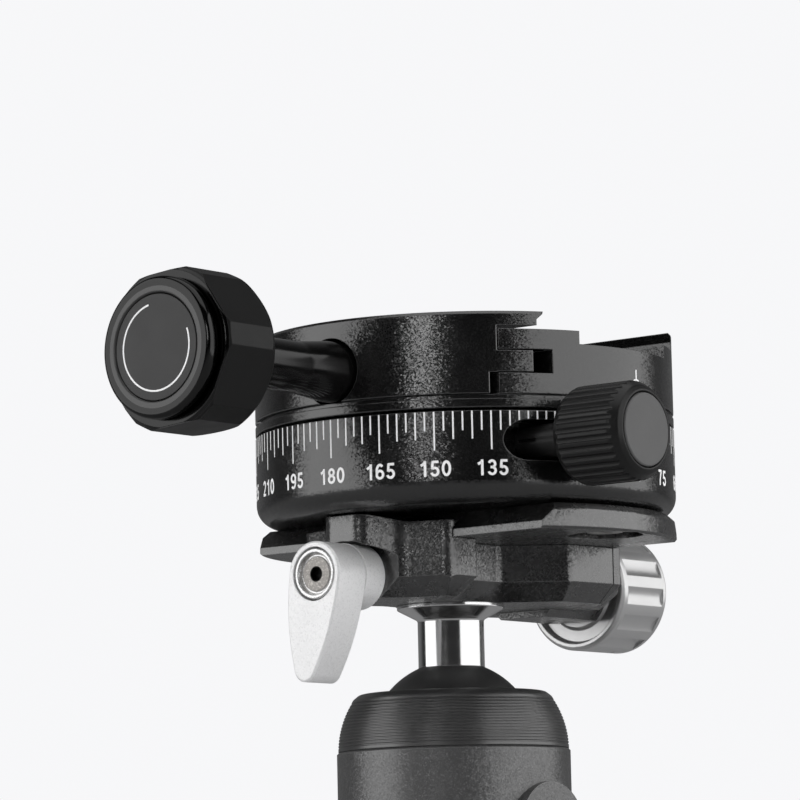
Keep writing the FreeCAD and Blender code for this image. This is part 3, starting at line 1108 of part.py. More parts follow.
def rotor():
    """Turning upper half: drum, flange, body with the dovetail floor and the fixed jaw."""
    groove = ROTATOR_RADIUS - ROTOR_GROOVE_DEPTH
    drum_foot = RING_Z + RING_WEB_Z
    body = turned([
        (0, drum_foot), (SPINDLE_DRUM_RADIUS, drum_foot), (SPINDLE_DRUM_RADIUS, ROTOR_Z),
        (ROTATOR_RADIUS - 0.15, ROTOR_Z), (ROTATOR_RADIUS, ROTOR_Z + 0.15),
        (ROTATOR_RADIUS, ROTOR_FLANGE_TOP - 0.1), (ROTATOR_RADIUS - 0.1, ROTOR_FLANGE_TOP),
        (groove, ROTOR_FLANGE_TOP), (groove, ROTOR_BODY_Z),
        (ROTATOR_RADIUS - 0.1, ROTOR_BODY_Z), (ROTATOR_RADIUS, ROTOR_BODY_Z + 0.1),
        (ROTATOR_RADIUS, ROTOR_TOP - 0.4), (ROTATOR_RADIUS - 0.4, ROTOR_TOP), (0, ROTOR_TOP),
    ], PAN_X, 0)
    wide = ROTATOR_RADIUS + 5
    x0, x1 = PAN_X - wide, PAN_X + wide
    groove_profile = lip_cut(JAW_FACE, ROTOR_FLOOR, ROTOR_TOP)
    body = body.cut(bar_x(groove_profile, x0, x1))
    body = body.cut(block(x0, x1, -wide, 0, ROTOR_FLOOR, ROTOR_TOP + 5))
    half_channel = ROTOR_CHANNEL_WIDTH / 2
    body = body.cut(block(x0, x1, -half_channel, half_channel, ROTOR_FLOOR - ROTOR_CHANNEL_DEPTH, ROTOR_TOP))
    # room for the moving jaw: a step over the flange, and a slot for each tongue
    body = body.cut(block(x0, x1, -wide, -TOP_JAW_FACE, ROTOR_BODY_Z, ROTOR_TOP))
    slot_low = ROTOR_BODY_Z + TONGUE_FOOT - TONGUE_CLEAR
    slot_high = ROTOR_BODY_Z + TONGUE_FOOT + TONGUE_HEIGHT + TONGUE_CLEAR
    for side in (-1, 1):
        near, far = sorted((side * (TONGUE_INNER_X - TONGUE_CLEAR), side * wide))
        body = body.cut(block(PAN_X + near, PAN_X + far, -TOP_JAW_FACE - 1, TONGUE_SLOT_REACH - TOP_JAW_FACE,
                              slot_low, slot_high))
    body = body.cut(rod_y(TOP_SCREW_RADIUS + RUN, -TOP_JAW_FACE - 1, TOP_SCREW_TIP_Y - TOP_JAW_FACE + 1,
                          PAN_X, LOCK_Z))
    for x in top_spring_places():
        body = body.cut(rod_y(TOP_SPRING_RADIUS + TOP_SPRING_ROOM, -TOP_JAW_FACE - 1,
                              ROTOR_SPRING_POCKET - TOP_JAW_FACE, x, LOCK_Z))
    body = body.cut(ball_race())
    return body.cut(rod_z(RETAINER_SCREW_RADIUS + FIT, drum_foot - 1, drum_foot + RETAINER_SCREW_LENGTH,
                          PAN_X, 0))


def top_jaw():
    """Segment of the rotor's rim that slides along Y: dovetail lip above, tongues at both ends."""
    wide = ROTATOR_RADIUS + 5
    face = -TOP_JAW_FACE - TOP_JAW_SEAM
    foot, tongue_z = ROTOR_BODY_Z + SEAT, ROTOR_BODY_Z + TONGUE_FOOT
    rim = turned([(0, foot), (ROTATOR_RADIUS - 0.1, foot), (ROTATOR_RADIUS, foot + 0.1),
                  (ROTATOR_RADIUS, ROTOR_TOP - 0.5), (ROTATOR_RADIUS - 0.5, ROTOR_TOP), (0, ROTOR_TOP)],
                 PAN_X, 0)
    blank = block(PAN_X - wide, PAN_X + wide, -wide, face, foot, ROTOR_TOP + 1)
    blank = blank.cut(block(PAN_X - wide, PAN_X + wide, -TOP_JAW_FOOT_FACE, 0, foot - 1, tongue_z - 0.1))
    lip_floor, knee = ROTOR_FLOOR + 2 * GAP, ROTOR_TOP - DOVETAIL_FLANK
    lip = bar_x([(face - 1, ROTOR_TOP + 1), (-JAW_FACE + DOVETAIL_FLANK + 1, ROTOR_TOP + 1),
                 (-JAW_FACE, knee), (-JAW_FACE, lip_floor), (face - 1, lip_floor)],
                PAN_X - wide, PAN_X + wide)
    blank = blank.fuse(lip)
    for side in (-1, 1):
        near, far = sorted((side * TONGUE_INNER_X, side * wide))
        blank = blank.fuse(block(PAN_X + near, PAN_X + far, face - 1, TONGUE_REACH - TOP_JAW_FACE, tongue_z,
                                 tongue_z + TONGUE_HEIGHT))
    jaw = rim.common(blank)
    hole_floor = JAW_HOLE_DEPTH - ROTATOR_RADIUS
    jaw = jaw.cut(rod_y(JAW_HOLE_RADIUS, -wide, hole_floor, PAN_X, LOCK_Z))
    jaw = jaw.cut(rod_y(TOP_SCREW_RADIUS + RUN, -wide, 0, PAN_X, LOCK_Z))
    for x in top_spring_places():
        jaw = jaw.cut(rod_y(TOP_SPRING_RADIUS + TOP_SPRING_ROOM, face - JAW_SPRING_BORE, face + 1, x, LOCK_Z))
    return jaw


def top_jaw_springs():
    """Two springs between the rotor and the moving jaw."""
    start = ROTOR_SPRING_POCKET - TOP_JAW_FACE - 2 * TOP_SPRING_ROOM - TOP_SPRING_LENGTH
    return [coil_spring(TOP_SPRING_RADIUS, TOP_SPRING_WIRE, TOP_SPRING_LENGTH, SPRING_TURNS, x, start, LOCK_Z)
            for x in top_spring_places()]


# ---------------------------------------------------------------- top clamp's lock
def top_lock_shaft():
    """Tapered shaft between knob and jaw, with the screw that threads into the rotor."""
    shoulder = JAW_HOLE_DEPTH - ROTATOR_RADIUS - SEAT
    near = -TOP_KNOB_NEAR
    end = near + LOCK_SHAFT_COLLAR_LENGTH
    shaft = turned_y([(0, shoulder), (LOCK_SHAFT_ROOT_RADIUS, shoulder),
                      (LOCK_SHAFT_ROOT_RADIUS, -ROTATOR_RADIUS - 1),
                      (LOCK_SHAFT_TIP_RADIUS, -LOCK_SHAFT_TAPER_END, 8.0), (LOCK_SHAFT_TIP_RADIUS, end),
                      (0, end)], PAN_X, LOCK_Z)
    screw_tip = TOP_SCREW_TIP_Y - TOP_JAW_FACE
    shaft = shaft.fuse(rod_y(TOP_SCREW_RADIUS, shoulder - 1, screw_tip - 1, PAN_X, LOCK_Z))
    return shaft.fuse(rod_y(TOP_SCREW_RADIUS, near - TOP_SCREW_KNOB_LENGTH, end + 1, PAN_X, LOCK_Z))


def top_lock_collar():
    """Thin bright collar between the shaft and the knob."""
    near = -TOP_KNOB_NEAR
    far = near + LOCK_SHAFT_COLLAR_LENGTH
    bore = TOP_SCREW_RADIUS + FIT
    return turned_y([(bore, near + FIT), (LOCK_SHAFT_COLLAR_RADIUS, near + FIT, 0.3),
                     (LOCK_SHAFT_COLLAR_RADIUS, far - FIT, 0.3), (bore, far - FIT)], PAN_X, LOCK_Z)


def top_lock_knob():
    """Big knob: turned grip with milled flats, then a glossy round cap with a recessed face."""
    near = -TOP_KNOB_NEAR
    grip_far = near - TOP_KNOB_GRIP_LENGTH
    cap_far = grip_far - TOP_KNOB_CAP_LENGTH

    def turn(profile):
        return turned_y([(c[0], -c[1]) + tuple(c[2:]) for c in profile], PAN_X, LOCK_Z)

    blank, outline = lobed_grip(TOP_KNOB_RADIUS, TOP_KNOB_LOBES, TOP_KNOB_LAND, -near, -grip_far, 3.4, turn)
    prism = bar_y([(a + PAN_X, b + LOCK_Z, r) for a, b, r in outline], grip_far - 1, near + 1)
    prism.rotate(Vector(PAN_X, 0, LOCK_Z), Y_AXIS, -TOP_KNOB_TURN)
    grip = blank.common(prism)
    cap = turned_y([(0, grip_far + 1), (TOP_KNOB_CAP_RADIUS - 0.6, grip_far + 1),
                    (TOP_KNOB_CAP_RADIUS - 0.6, grip_far - 0.2), (TOP_KNOB_CAP_RADIUS, grip_far - 0.6, 0.3),
                    (TOP_KNOB_CAP_RADIUS, cap_far, 1.7), (TOP_DISC_RADIUS + 0.15, cap_far, 0.5),
                    (TOP_DISC_RADIUS + FIT, cap_far + TOP_DISC_RECESS + TOP_DISC_HEIGHT),
                    (0, cap_far + TOP_DISC_RECESS + TOP_DISC_HEIGHT)], PAN_X, LOCK_Z)
    knob = grip.fuse(cap).removeSplitter()
    return knob.cut(rod_y(TOP_SCREW_RADIUS + FIT, near - TOP_SCREW_KNOB_LENGTH - FIT, near + 1,
                          PAN_X, LOCK_Z))


def top_lock_disc():
    face = -TOP_KNOB_NEAR - TOP_KNOB_GRIP_LENGTH - TOP_KNOB_CAP_LENGTH + TOP_DISC_RECESS
    return rod_y(TOP_DISC_RADIUS, face, face + TOP_DISC_HEIGHT - FIT, PAN_X, LOCK_Z)


# ---------------------------------------------------------------- write every sub-part
os.makedirs("parts", exist_ok=True)

export("base_disc", base_disc())
export("thread_insert", thread_insert())
export("base_washer", base_washer())
export("base_ring_nut", base_ring_nut())
export("housing", housing())
export("collar", collar())
export("collar_liner", collar_liner())
export("ball_cup", ball_cup())
export("cup_o_ring", cup_o_ring())
export("lift_piston", lift_piston())
export("lock_wedge", lock_wedge())
export("ball_lock_bush", ball_lock_bush())
export("ball_lock_screw", ball_lock_screw())
export("ball_lock_knob", ball_lock_knob())
export("ball_lock_disc", ball_lock_disc())
export("base_lock_knob", base_lock_knob())
export("base_lock_screw", base_lock_screw())
export("base_brake_shoe", base_brake_shoe())
export("ball", ball())
export("stem", stem())
export("clamp_screw", clamp_screw())
export("lower_clamp_body", lower_clamp_body())
export("lower_clamp_jaw", lower_clamp_jaw())
export("draw_yoke", draw_yoke())
export("guide_pins", *guide_pins())
export("clamp_springs", *clamp_springs())
export("lever", lever())
export("lever_hub", lever_hub())
export("lever_screw", lever_screw())
export("tension_knob", tension_knob())
export("dovetail_plate", dovetail_plate())
export("plate_screws", *plate_screws())
export("scale_ring", scale_ring())
export("bearing_balls", *bearing_balls())
export("bearing_cage", bearing_cage())
export("brake_band", brake_band())
export("retainer_washer", retainer_washer())
export("retainer_screw", retainer_screw())
export("pan_lock_knob", pan_lock_knob())
export("pan_lock_cap", pan_lock_cap())
export("pan_lock_stem", pan_lock_stem())
export("rotor", rotor())
export("top_jaw", top_jaw())
export("top_jaw_springs", *top_jaw_springs())
export("top_lock_shaft", top_lock_shaft())
export("top_lock_collar", top_lock_collar())
export("top_lock_knob", top_lock_knob())
export("top_lock_disc", top_lock_disc())
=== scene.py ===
# %% [markdown]
# # A panoramic tripod head
#
# This head has a ball in a grooved collar, a clamp with a cam lever, a turning ring marked in degrees,
# and a second clamp on top. Its metal shapes come from CAD and stay exactly as they are. What this script
# adds is the surface: anodised skins, turned metal, moulded knobs, and the white marks that are painted on
# them. Keeping shape and surface apart means that a finish can be tried many times at no risk to the fit.

import json
import math

import bmesh
import bpy
from mathutils import Matrix, Vector
from mathutils.bvhtree import BVHTree


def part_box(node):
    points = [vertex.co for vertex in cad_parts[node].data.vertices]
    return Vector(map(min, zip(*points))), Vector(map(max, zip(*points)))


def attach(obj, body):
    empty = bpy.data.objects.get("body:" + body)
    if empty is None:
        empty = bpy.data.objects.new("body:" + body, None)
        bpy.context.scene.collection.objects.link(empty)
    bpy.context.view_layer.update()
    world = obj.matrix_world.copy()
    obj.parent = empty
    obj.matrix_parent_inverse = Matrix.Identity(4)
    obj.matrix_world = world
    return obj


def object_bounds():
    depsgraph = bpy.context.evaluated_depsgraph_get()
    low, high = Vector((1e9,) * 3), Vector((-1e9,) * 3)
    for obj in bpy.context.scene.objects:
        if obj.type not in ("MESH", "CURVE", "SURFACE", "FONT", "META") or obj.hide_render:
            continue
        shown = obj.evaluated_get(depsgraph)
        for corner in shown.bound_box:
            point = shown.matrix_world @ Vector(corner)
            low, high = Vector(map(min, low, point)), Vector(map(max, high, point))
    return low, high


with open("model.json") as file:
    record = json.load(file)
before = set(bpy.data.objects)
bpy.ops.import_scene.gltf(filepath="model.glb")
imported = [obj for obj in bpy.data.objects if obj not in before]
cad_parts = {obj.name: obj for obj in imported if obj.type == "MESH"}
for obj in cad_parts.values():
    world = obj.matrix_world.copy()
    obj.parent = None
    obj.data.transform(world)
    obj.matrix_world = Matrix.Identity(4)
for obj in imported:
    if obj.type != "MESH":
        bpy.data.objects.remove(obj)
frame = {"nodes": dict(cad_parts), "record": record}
cad_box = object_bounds()
MM = 0.001

# %% [markdown]
# ## How the finishes are built
#
# Every finish starts as one physically based shader. A flat colour would look like plastic under a studio
# lamp, because real skins vary a little everywhere. A small helper that adds a shader node and sets its
# values keeps the recipes below short enough to read as recipes.

# %% A helper for shader nodes
def add_node(tree, kind, values=None, **settings):
    node = tree.nodes.new(kind)
    for name, value in settings.items():
        setattr(node, name, value)
    for socket, value in (values or {}).items():
        node.inputs[socket].default_value = value
    return node


def base_finish(name, colour, roughness, metallic=0.0, ior=1.5):
    material = bpy.data.materials.new(name)
    material.use_nodes = True
    shader = material.node_tree.nodes["Principled BSDF"]
    shader.inputs["Base Color"].default_value = (*colour, 1)
    shader.inputs["Metallic"].default_value = metallic
    shader.inputs["Roughness"].default_value = roughness
    shader.inputs["IOR"].default_value = ior
    return material


def grey(level, warmth=0.0):
    """A grey of one level, a touch warmer or cooler."""
    return (level * (1 + warmth), level, level * (1 - warmth))


print("helpers ready, a middle grey is", grey(0.18))

# %% [markdown]
# ## Rounded edges, rubbed edges and painted edge highlights
#
# No machined edge is perfectly sharp: it is broken by a fraction of a millimetre, and that thin round
# catches the light all along. Cutting such a round into every solid would cost a great many faces. The
# Bevel shader node bends only the shading near an edge, which is enough for so small a round. Where the
# bent direction differs from the true one there must be an edge, so the same node also gives a mask along
# every edge. There the colour is made paler: partly the rub of fingers and straps on an anodised skin, and
# partly a painted highlight along the edge.

# %% Edge shading
EDGE_ROUND = 0.22 * MM
EDGE_SAMPLES = 6
EDGE_STARTS = 0.015
EDGE_FULL = 0.20


def edge_normal(tree):
    return add_node(tree, "ShaderNodeBevel", {"Radius": EDGE_ROUND}, samples=EDGE_SAMPLES)


def edge_mask(tree, bevel):
    """One at an edge and nought on a flat: how far the bent direction is from the true one."""
    geometry = add_node(tree, "ShaderNodeNewGeometry")
    facing = add_node(tree, "ShaderNodeVectorMath", operation="DOT_PRODUCT")
    tree.links.new(bevel.outputs["Normal"], facing.inputs[0])
    tree.links.new(geometry.outputs["Normal"], facing.inputs[1])
    mask = add_node(tree, "ShaderNodeMapRange", {
        "From Min": 1 - EDGE_STARTS, "From Max": 1 - EDGE_FULL, "To Min": 0.0, "To Max": 1.0})
    tree.links.new(facing.outputs["Value"], mask.inputs["Value"])
    return mask.outputs["Result"]


print("edge round", EDGE_ROUND / MM, "mm")

# %% [markdown]
# ## Handled skins
#
# Hands polish a skin in some places and leave a film in others, so its roughness is never quite even. A
# slow noise moves the roughness a little both ways. It stays slight, because strong patches would read as
# dirt on a tool that someone looks after.

# %% Uneven roughness
SMOOTHER = 0.03
ROUGHER = 0.04
NOISE_LOW, NOISE_HIGH = 0.3, 0.7    # the noise rarely leaves this range


def handled_roughness(tree, roughness, patch):
    """A roughness that drifts a little from place to place, over patches of the given size."""
    place = add_node(tree, "ShaderNodeTexCoord")
    noise = add_node(tree, "ShaderNodeTexNoise", {"Scale": 1 / patch, "Detail": 4.0, "Roughness": 0.6})
    tree.links.new(place.outputs["Object"], noise.inputs["Vector"])
    spread = add_node(tree, "ShaderNodeMapRange", {
        "From Min": NOISE_LOW, "From Max": NOISE_HIGH,
        "To Min": roughness - SMOOTHER, "To Max": roughness + ROUGHER})
    tree.links.new(noise.outputs["Fac"], spread.inputs["Value"])
    return spread.outputs["Result"]


print("roughness drifts by", -SMOOTHER, "to", ROUGHER)

# %% [markdown]
# ## Blasted and anodised skins
#
# Before anodising, most of these parts are blasted with fine beads, which leaves grains that each lean
# their own way and glint one by one. A bump map would blur so fine a grain. Giving every Voronoi cell its
# own small tilt keeps each grain crisp, and the grain size is then a real length. A few grains also take
# another colour: on the dark skins and the screw a paler one, which is a painted glint, and on the silver a
# darker tone.

# %% The blasted skin
SPECKS_FROM = 0.72
BLASTED_PATCH = 6 * MM


def grains(tree, size):
    """One random colour for each grain."""
    place = add_node(tree, "ShaderNodeTexCoord")
    cells = add_node(tree, "ShaderNodeTexVoronoi", {"Scale": 1 / size})
    tree.links.new(place.outputs["Object"], cells.inputs["Vector"])
    return cells


def grain_normal(tree, bevel, cells, tilt):
    centred = add_node(tree, "ShaderNodeVectorMath", {1: (0.5, 0.5, 0.5)}, operation="SUBTRACT")
    tree.links.new(cells.outputs["Color"], centred.inputs[0])
    lean = add_node(tree, "ShaderNodeVectorMath", {"Scale": tilt}, operation="SCALE")
    tree.links.new(centred.outputs["Vector"], lean.inputs[0])
    added = add_node(tree, "ShaderNodeVectorMath", operation="ADD")
    tree.links.new(bevel.outputs["Normal"], added.inputs[0])
    tree.links.new(lean.outputs["Vector"], added.inputs[1])
    unit = add_node(tree, "ShaderNodeVectorMath", operation="NORMALIZE")
    tree.links.new(added.outputs["Vector"], unit.inputs[0])
    return unit.outputs["Vector"]


def speck_mask(tree, cells):
    """Rises from nought to one over the grains whose random red is highest."""
    split = add_node(tree, "ShaderNodeSeparateColor")
    tree.links.new(cells.outputs["Color"], split.inputs["Color"])
    rare = add_node(tree, "ShaderNodeMapRange", {"From Min": SPECKS_FROM, "From Max": 1.0})
    tree.links.new(split.outputs["Red"], rare.inputs["Value"])
    return rare.outputs["Result"]


def colour_where(tree, under_it, colour, mask):
    """Lays a colour over another, or over a socket's colour, where a mask is one."""
    mix = add_node(tree, "ShaderNodeMix", data_type="RGBA")
    if isinstance(under_it, tuple):
        mix.inputs["A"].default_value = (*under_it, 1)
    else:
        tree.links.new(under_it, mix.inputs["A"])
    mix.inputs["B"].default_value = (*colour, 1)
    tree.links.new(mask, mix.inputs["Factor"])
    return mix.outputs["Result"]


def blasted_finish(name, colour, grain_tone_and_glint, edge_wear_and_highlight, roughness, grain, tilt, metallic=0.0, ior=1.5):
    material = base_finish(name, colour, roughness, metallic, ior)
    tree = material.node_tree
    shader = tree.nodes["Principled BSDF"]
    bevel = edge_normal(tree)
    cells = grains(tree, grain)
    tree.links.new(grain_normal(tree, bevel, cells, tilt), shader.inputs["Normal"])
    # Rare grains take another colour: paler ones are painted glints standing in for sparkle, darker ones a
    # tone.
    specked_and_glinting = colour_where(tree, colour, grain_tone_and_glint, speck_mask(tree, cells))
    # Paler colour along every edge: partly rubbed wear, partly a painted highlight along the edge.
    tree.links.new(colour_where(tree, specked_and_glinting, edge_wear_and_highlight, edge_mask(tree, bevel)), shader.inputs["Base Color"])
    tree.links.new(handled_roughness(tree, roughness, BLASTED_PATCH), shader.inputs["Roughness"])
    return material


print("about", round(100 * (1 - SPECKS_FROM)), "grains in a hundred show some speck")

# %% [markdown]
# ## The four blasted parts
#
# The dye lies in a clear layer of oxide, which bends light more than plastic does. So each dark skin is a
# dark colour under a high index, and no metal shows. The rotator is the blackest and smoothest, the clamp
# a shade greyer, the housing greyer still, and the lever is bare silver with a thin clear skin.

# %% Blasted finishes
finishes = {
    "rotator_black": blasted_finish(
        "black_anodised", colour=grey(0.001), grain_tone_and_glint=grey(0.007), edge_wear_and_highlight=grey(0.10), roughness=0.20,
        grain=0.21 * MM, tilt=0.12, ior=1.95),
    "clamp_grey": blasted_finish(
        "charcoal_anodised", colour=grey(0.003), grain_tone_and_glint=grey(0.036), edge_wear_and_highlight=grey(0.12), roughness=0.26,
        grain=0.22 * MM, tilt=0.17, ior=2.4),
    "housing_grey": blasted_finish(
        "grey_blasted_aluminium", colour=grey(0.034), grain_tone_and_glint=grey(0.078), edge_wear_and_highlight=grey(0.16), roughness=0.34,
        grain=0.21 * MM, tilt=0.18, ior=2.2),
    "satin_silver": blasted_finish(
        "silver_blasted_aluminium", colour=grey(0.88), grain_tone_and_glint=grey(0.78), edge_wear_and_highlight=grey(0.94), roughness=0.42,
        grain=0.22 * MM, tilt=0.12, metallic=0.4)}
print("blasted finishes:", ", ".join(sorted(finishes)))

# %% [markdown]
# ## Turned metal
#
# A lathe leaves a fine spiral. On a cylinder it reads as hoops and on an end face as rings. Both are one
# pattern: if the grooves depend on the distance along the axis plus the distance from it, the first part
# makes the hoops and the second the rings. Each turned piece needs its own axis, which its box gives.

# %% The turned skin
AXES = {"X": Vector((1, 0, 0)), "Y": Vector((0, 1, 0)), "Z": Vector((0, 0, 1))}
SMOOTH_PATCH = 5 * MM
GROOVE_STRENGTH = 0.6


def centre_of(node):
    low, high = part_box(node)
    return (low + high) / 2


def lathe_place(tree, axis, node):
    """The distance along a node's own axis from its middle, and the distance from that axis."""
    place = add_node(tree, "ShaderNodeTexCoord")
    local = add_node(tree, "ShaderNodeVectorMath", {1: centre_of(node)}, operation="SUBTRACT")
    tree.links.new(place.outputs["Object"], local.inputs[0])
    along = add_node(tree, "ShaderNodeVectorMath", {1: AXES[axis]}, operation="DOT_PRODUCT")
    tree.links.new(local.outputs["Vector"], along.inputs[0])
    crosswise = Vector((1, 1, 1)) - AXES[axis]
    across = add_node(tree, "ShaderNodeVectorMath", {1: crosswise}, operation="MULTIPLY")
    tree.links.new(local.outputs["Vector"], across.inputs[0])
    radius = add_node(tree, "ShaderNodeVectorMath", operation="LENGTH")
    tree.links.new(across.outputs["Vector"], radius.inputs[0])
    return along.outputs["Value"], radius.outputs["Value"]


def combine(tree, operation, first, second):
    node = add_node(tree, "ShaderNodeMath", operation=operation)
    tree.links.new(first, node.inputs[0])
    tree.links.new(second, node.inputs[1])
    return node.outputs["Value"]


def bump_normal(tree, height, strength, depth):
    """Bends the edge-rounded surface further where a height rises and falls."""
    bump = add_node(tree, "ShaderNodeBump", {"Strength": strength, "Distance": depth})
    tree.links.new(height, bump.inputs["Height"])
    tree.links.new(edge_normal(tree).outputs["Normal"], bump.inputs["Normal"])
    return bump.outputs["Normal"]


def turned_finish(name, colour, roughness, axis, node, pitch, depth, metallic=0.0, ior=1.5):
    material = base_finish(name, colour, roughness, metallic, ior)
    tree = material.node_tree
    shader = tree.nodes["Principled BSDF"]
    grooves = add_node(
        tree, "ShaderNodeTexNoise", {"Scale": 1 / pitch, "Detail": 2.0}, noise_dimensions="1D")
    tree.links.new(combine(tree, "ADD", *lathe_place(tree, axis, node)), grooves.inputs["W"])
    groove_normal = bump_normal(tree, grooves.outputs["Fac"], GROOVE_STRENGTH, depth)
    tree.links.new(groove_normal, shader.inputs["Normal"])
    tree.links.new(handled_roughness(tree, roughness, SMOOTH_PATCH), shader.inputs["Roughness"])
    return material


print("axes to turn about:", ", ".join(AXES))

# %% [markdown]
# ## The five turned parts
#
# The stem is polished and mirrors the studio, while the tension knob keeps a soft sheen. The collar is cut
# with real hoops, so its grooves are the deepest. The ball and the side knob's face are turned so finely
# that only their sheen tells. Each finish belongs to one piece, so this table is kept by piece and not by
# the record's slots.

# %% Turned finishes
own_finish = {
    "tension_knob": turned_finish(
        "turned_silver", colour=grey(0.72), roughness=0.30, axis="Y", node="tension_knob",
        pitch=0.30 * MM, depth=0.002 * MM, metallic=0.9),
    "stem": turned_finish(
        "polished_steel", colour=grey(0.82), roughness=0.13, axis="Z", node="stem",
        pitch=0.40 * MM, depth=0.001 * MM, metallic=1.0),
    "collar": turned_finish(
        "grooved_charcoal", colour=grey(0.022), roughness=0.32, axis="Z", node="collar",
        pitch=0.15 * MM, depth=0.018 * MM, ior=2.2),
    "ball": turned_finish(
        "hard_anodised_ball", colour=grey(0.022), roughness=0.42, axis="Z", node="ball",
        pitch=0.20 * MM, depth=0.001 * MM, ior=1.7),
    "pan_lock_cap": turned_finish(
        "grey_knob_face", colour=grey(0.07), roughness=0.50, axis="X", node="pan_lock_cap",
        pitch=0.20 * MM, depth=0.001 * MM, ior=1.6)}
print("turned pieces:", ", ".join(sorted(own_finish)))

# %% [markdown]
# ## Moulded and small parts
#
# Knobs are moulded and have a faint texture from the tool, which is far finer than blasting. The small
# parts inside are steel, brass, plastic and rubber. They hardly show, but someone will take this head
# apart, so each still gets the finish that it really has.

# %% Moulded plastic, metal and rubber inside
TEXTURE_STRENGTH = 0.5
METAL_GRAIN = 0.3 * MM
METAL_TILT = 0.05


def moulded_finish(name, colour, roughness, texture, depth, ior=1.5):
    material = base_finish(name, colour, roughness, ior=ior)
    tree = material.node_tree
    shader = tree.nodes["Principled BSDF"]
    place = add_node(tree, "ShaderNodeTexCoord")
    skin = add_node(tree, "ShaderNodeTexNoise", {"Scale": 1 / texture, "Detail": 3.0})
    tree.links.new(place.outputs["Object"], skin.inputs["Vector"])
    texture_normal = bump_normal(tree, skin.outputs["Fac"], TEXTURE_STRENGTH, depth)
    tree.links.new(texture_normal, shader.inputs["Normal"])
    tree.links.new(handled_roughness(tree, roughness, SMOOTH_PATCH), shader.inputs["Roughness"])
    return material


def metal_finish(name, colour, roughness):
    """Plain metal: one colour throughout and hardly any grain."""
    return blasted_finish(
        name, colour, grain_tone_and_glint=colour, edge_wear_and_highlight=colour, roughness=roughness, grain=METAL_GRAIN,
        tilt=METAL_TILT, metallic=1.0)


finishes["knob_black"] = moulded_finish(
    "black_knob", grey(0.005), roughness=0.34, texture=0.25 * MM, depth=0.002 * MM, ior=1.45)
finishes["disc_grey"] = moulded_finish(
    "grey_knob_disc", grey(0.030), roughness=0.50, texture=0.20 * MM, depth=0.004 * MM)
finishes["liner_white"] = moulded_finish(
    "slippery_liner", grey(0.70, 0.03), roughness=0.45, texture=0.4 * MM, depth=0.002 * MM)
finishes["seal_rubber"] = moulded_finish(
    "seal", grey(0.02), roughness=0.60, texture=0.3 * MM, depth=0.006 * MM)
finishes["screw_steel"] = metal_finish("plain_steel", grey(0.52, 0.02), roughness=0.34)
finishes["bearing_steel"] = metal_finish("ground_steel", grey(0.72), roughness=0.12)
finishes["cage_brass"] = metal_finish("brass", (0.62, 0.43, 0.17), roughness=0.34)
own_finish["pan_lock_stem"] = finishes["knob_black"]
own_finish["top_lock_shaft"] = moulded_finish(
    "glossy_black_shaft", grey(0.002), roughness=0.16, texture=0.40 * MM, depth=0.001 * MM, ior=1.45)
print("finishes by slot:", len(finishes))

# %% [markdown]
# ## Telling zones of one piece apart
#
# Two pieces wear more than one skin. On a round piece a skin ends at a distance from the axis or along it,
# so the same two distances that draw the lathe's rings also tell the skins apart, and no face has to be
# picked by hand.

# %% Zones
ZONE_BLUR = 0.05 * MM


def zone(tree, value, limit, below, above):
    """One value below a limit and another above it, with a soft line between."""
    step = add_node(tree, "ShaderNodeMapRange", {
        "From Min": limit - ZONE_BLUR, "From Max": limit + ZONE_BLUR, "To Min": below, "To Max": above})
    tree.links.new(value, step.inputs["Value"])
    return step.outputs["Result"]


def value_where(tree, under_it, value, mask):
    """Lays a number over a socket's number where a mask is one."""
    mix = add_node(tree, "ShaderNodeMix", {"B": value})
    tree.links.new(under_it, mix.inputs["A"])
    tree.links.new(mask, mix.inputs["Factor"])
    return mix.outputs["Result"]


def front_of(node):
    """Where a node's front face lies along Y, from its middle."""
    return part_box(node)[0].y - centre_of(node).y


print("zones blend over", 2 * ZONE_BLUR / MM, "mm")

# %% [markdown]
# ## The big top knob
#
# This knob is one solid with three skins: a satin grip, a glossy round cap, and a paler bevel round its
# face. The cap is the front few millimetres. The bevel is the front edge within a reach from the axis.

# %% Big knob
CAP_LENGTH = 2.9 * MM
BEVEL_REACH = 9.75 * MM
BEVEL_DEPTH = 0.45 * MM
GRIP_BLACK = grey(0.006)
GRIP_ROUGHNESS = 0.42
CAP_ROUGHNESS = 0.12
CAP_METAL = grey(0.045)
BEVEL_METAL = grey(0.11)

big_knob = moulded_finish(
    "big_knob", GRIP_BLACK, GRIP_ROUGHNESS, texture=0.25 * MM, depth=0.002 * MM, ior=1.33)
tree = big_knob.node_tree
shader = tree.nodes["Principled BSDF"]
along, radius = lathe_place(tree, "Y", "top_lock_knob")
front = front_of("top_lock_knob")
cap = zone(tree, along, front + CAP_LENGTH, 1.0, 0.0)
bevel = combine(tree, "MULTIPLY", zone(tree, along, front + BEVEL_DEPTH, 1.0, 0.0),
                zone(tree, radius, BEVEL_REACH, 1.0, 0.0))
grip_roughness = shader.inputs["Roughness"].links[0].from_socket
glossy_roughness = value_where(tree, grip_roughness, CAP_ROUGHNESS, cap)
tree.links.new(value_where(tree, glossy_roughness, GRIP_ROUGHNESS, bevel), shader.inputs["Roughness"])
cap_colour = colour_where(tree, GRIP_BLACK, CAP_METAL, cap)
tree.links.new(colour_where(tree, cap_colour, BEVEL_METAL, bevel), shader.inputs["Base Color"])
tree.links.new(cap, shader.inputs["Metallic"])
own_finish["top_lock_knob"] = big_knob
print("big knob: cap", CAP_LENGTH / MM, "mm, bevel", BEVEL_DEPTH / MM, "mm")

# %% [markdown]
# ## The lever's screw
#
# The screw has a sandy face inside a bright turned rim. The hole for the key gets painted shade, a dark
# colour that starts a little way into the hole rather than on the face.

# %% Lever screw
SCREW_FACE = 2.95 * MM
RIM_ROUGHNESS = 0.20
RIM_METAL = grey(0.78)
SOCKET_REACH = 1.3 * MM
SOCKET_STARTS = 0.12 * MM
SOCKET_PAINTED_SHADE = grey(0.02)

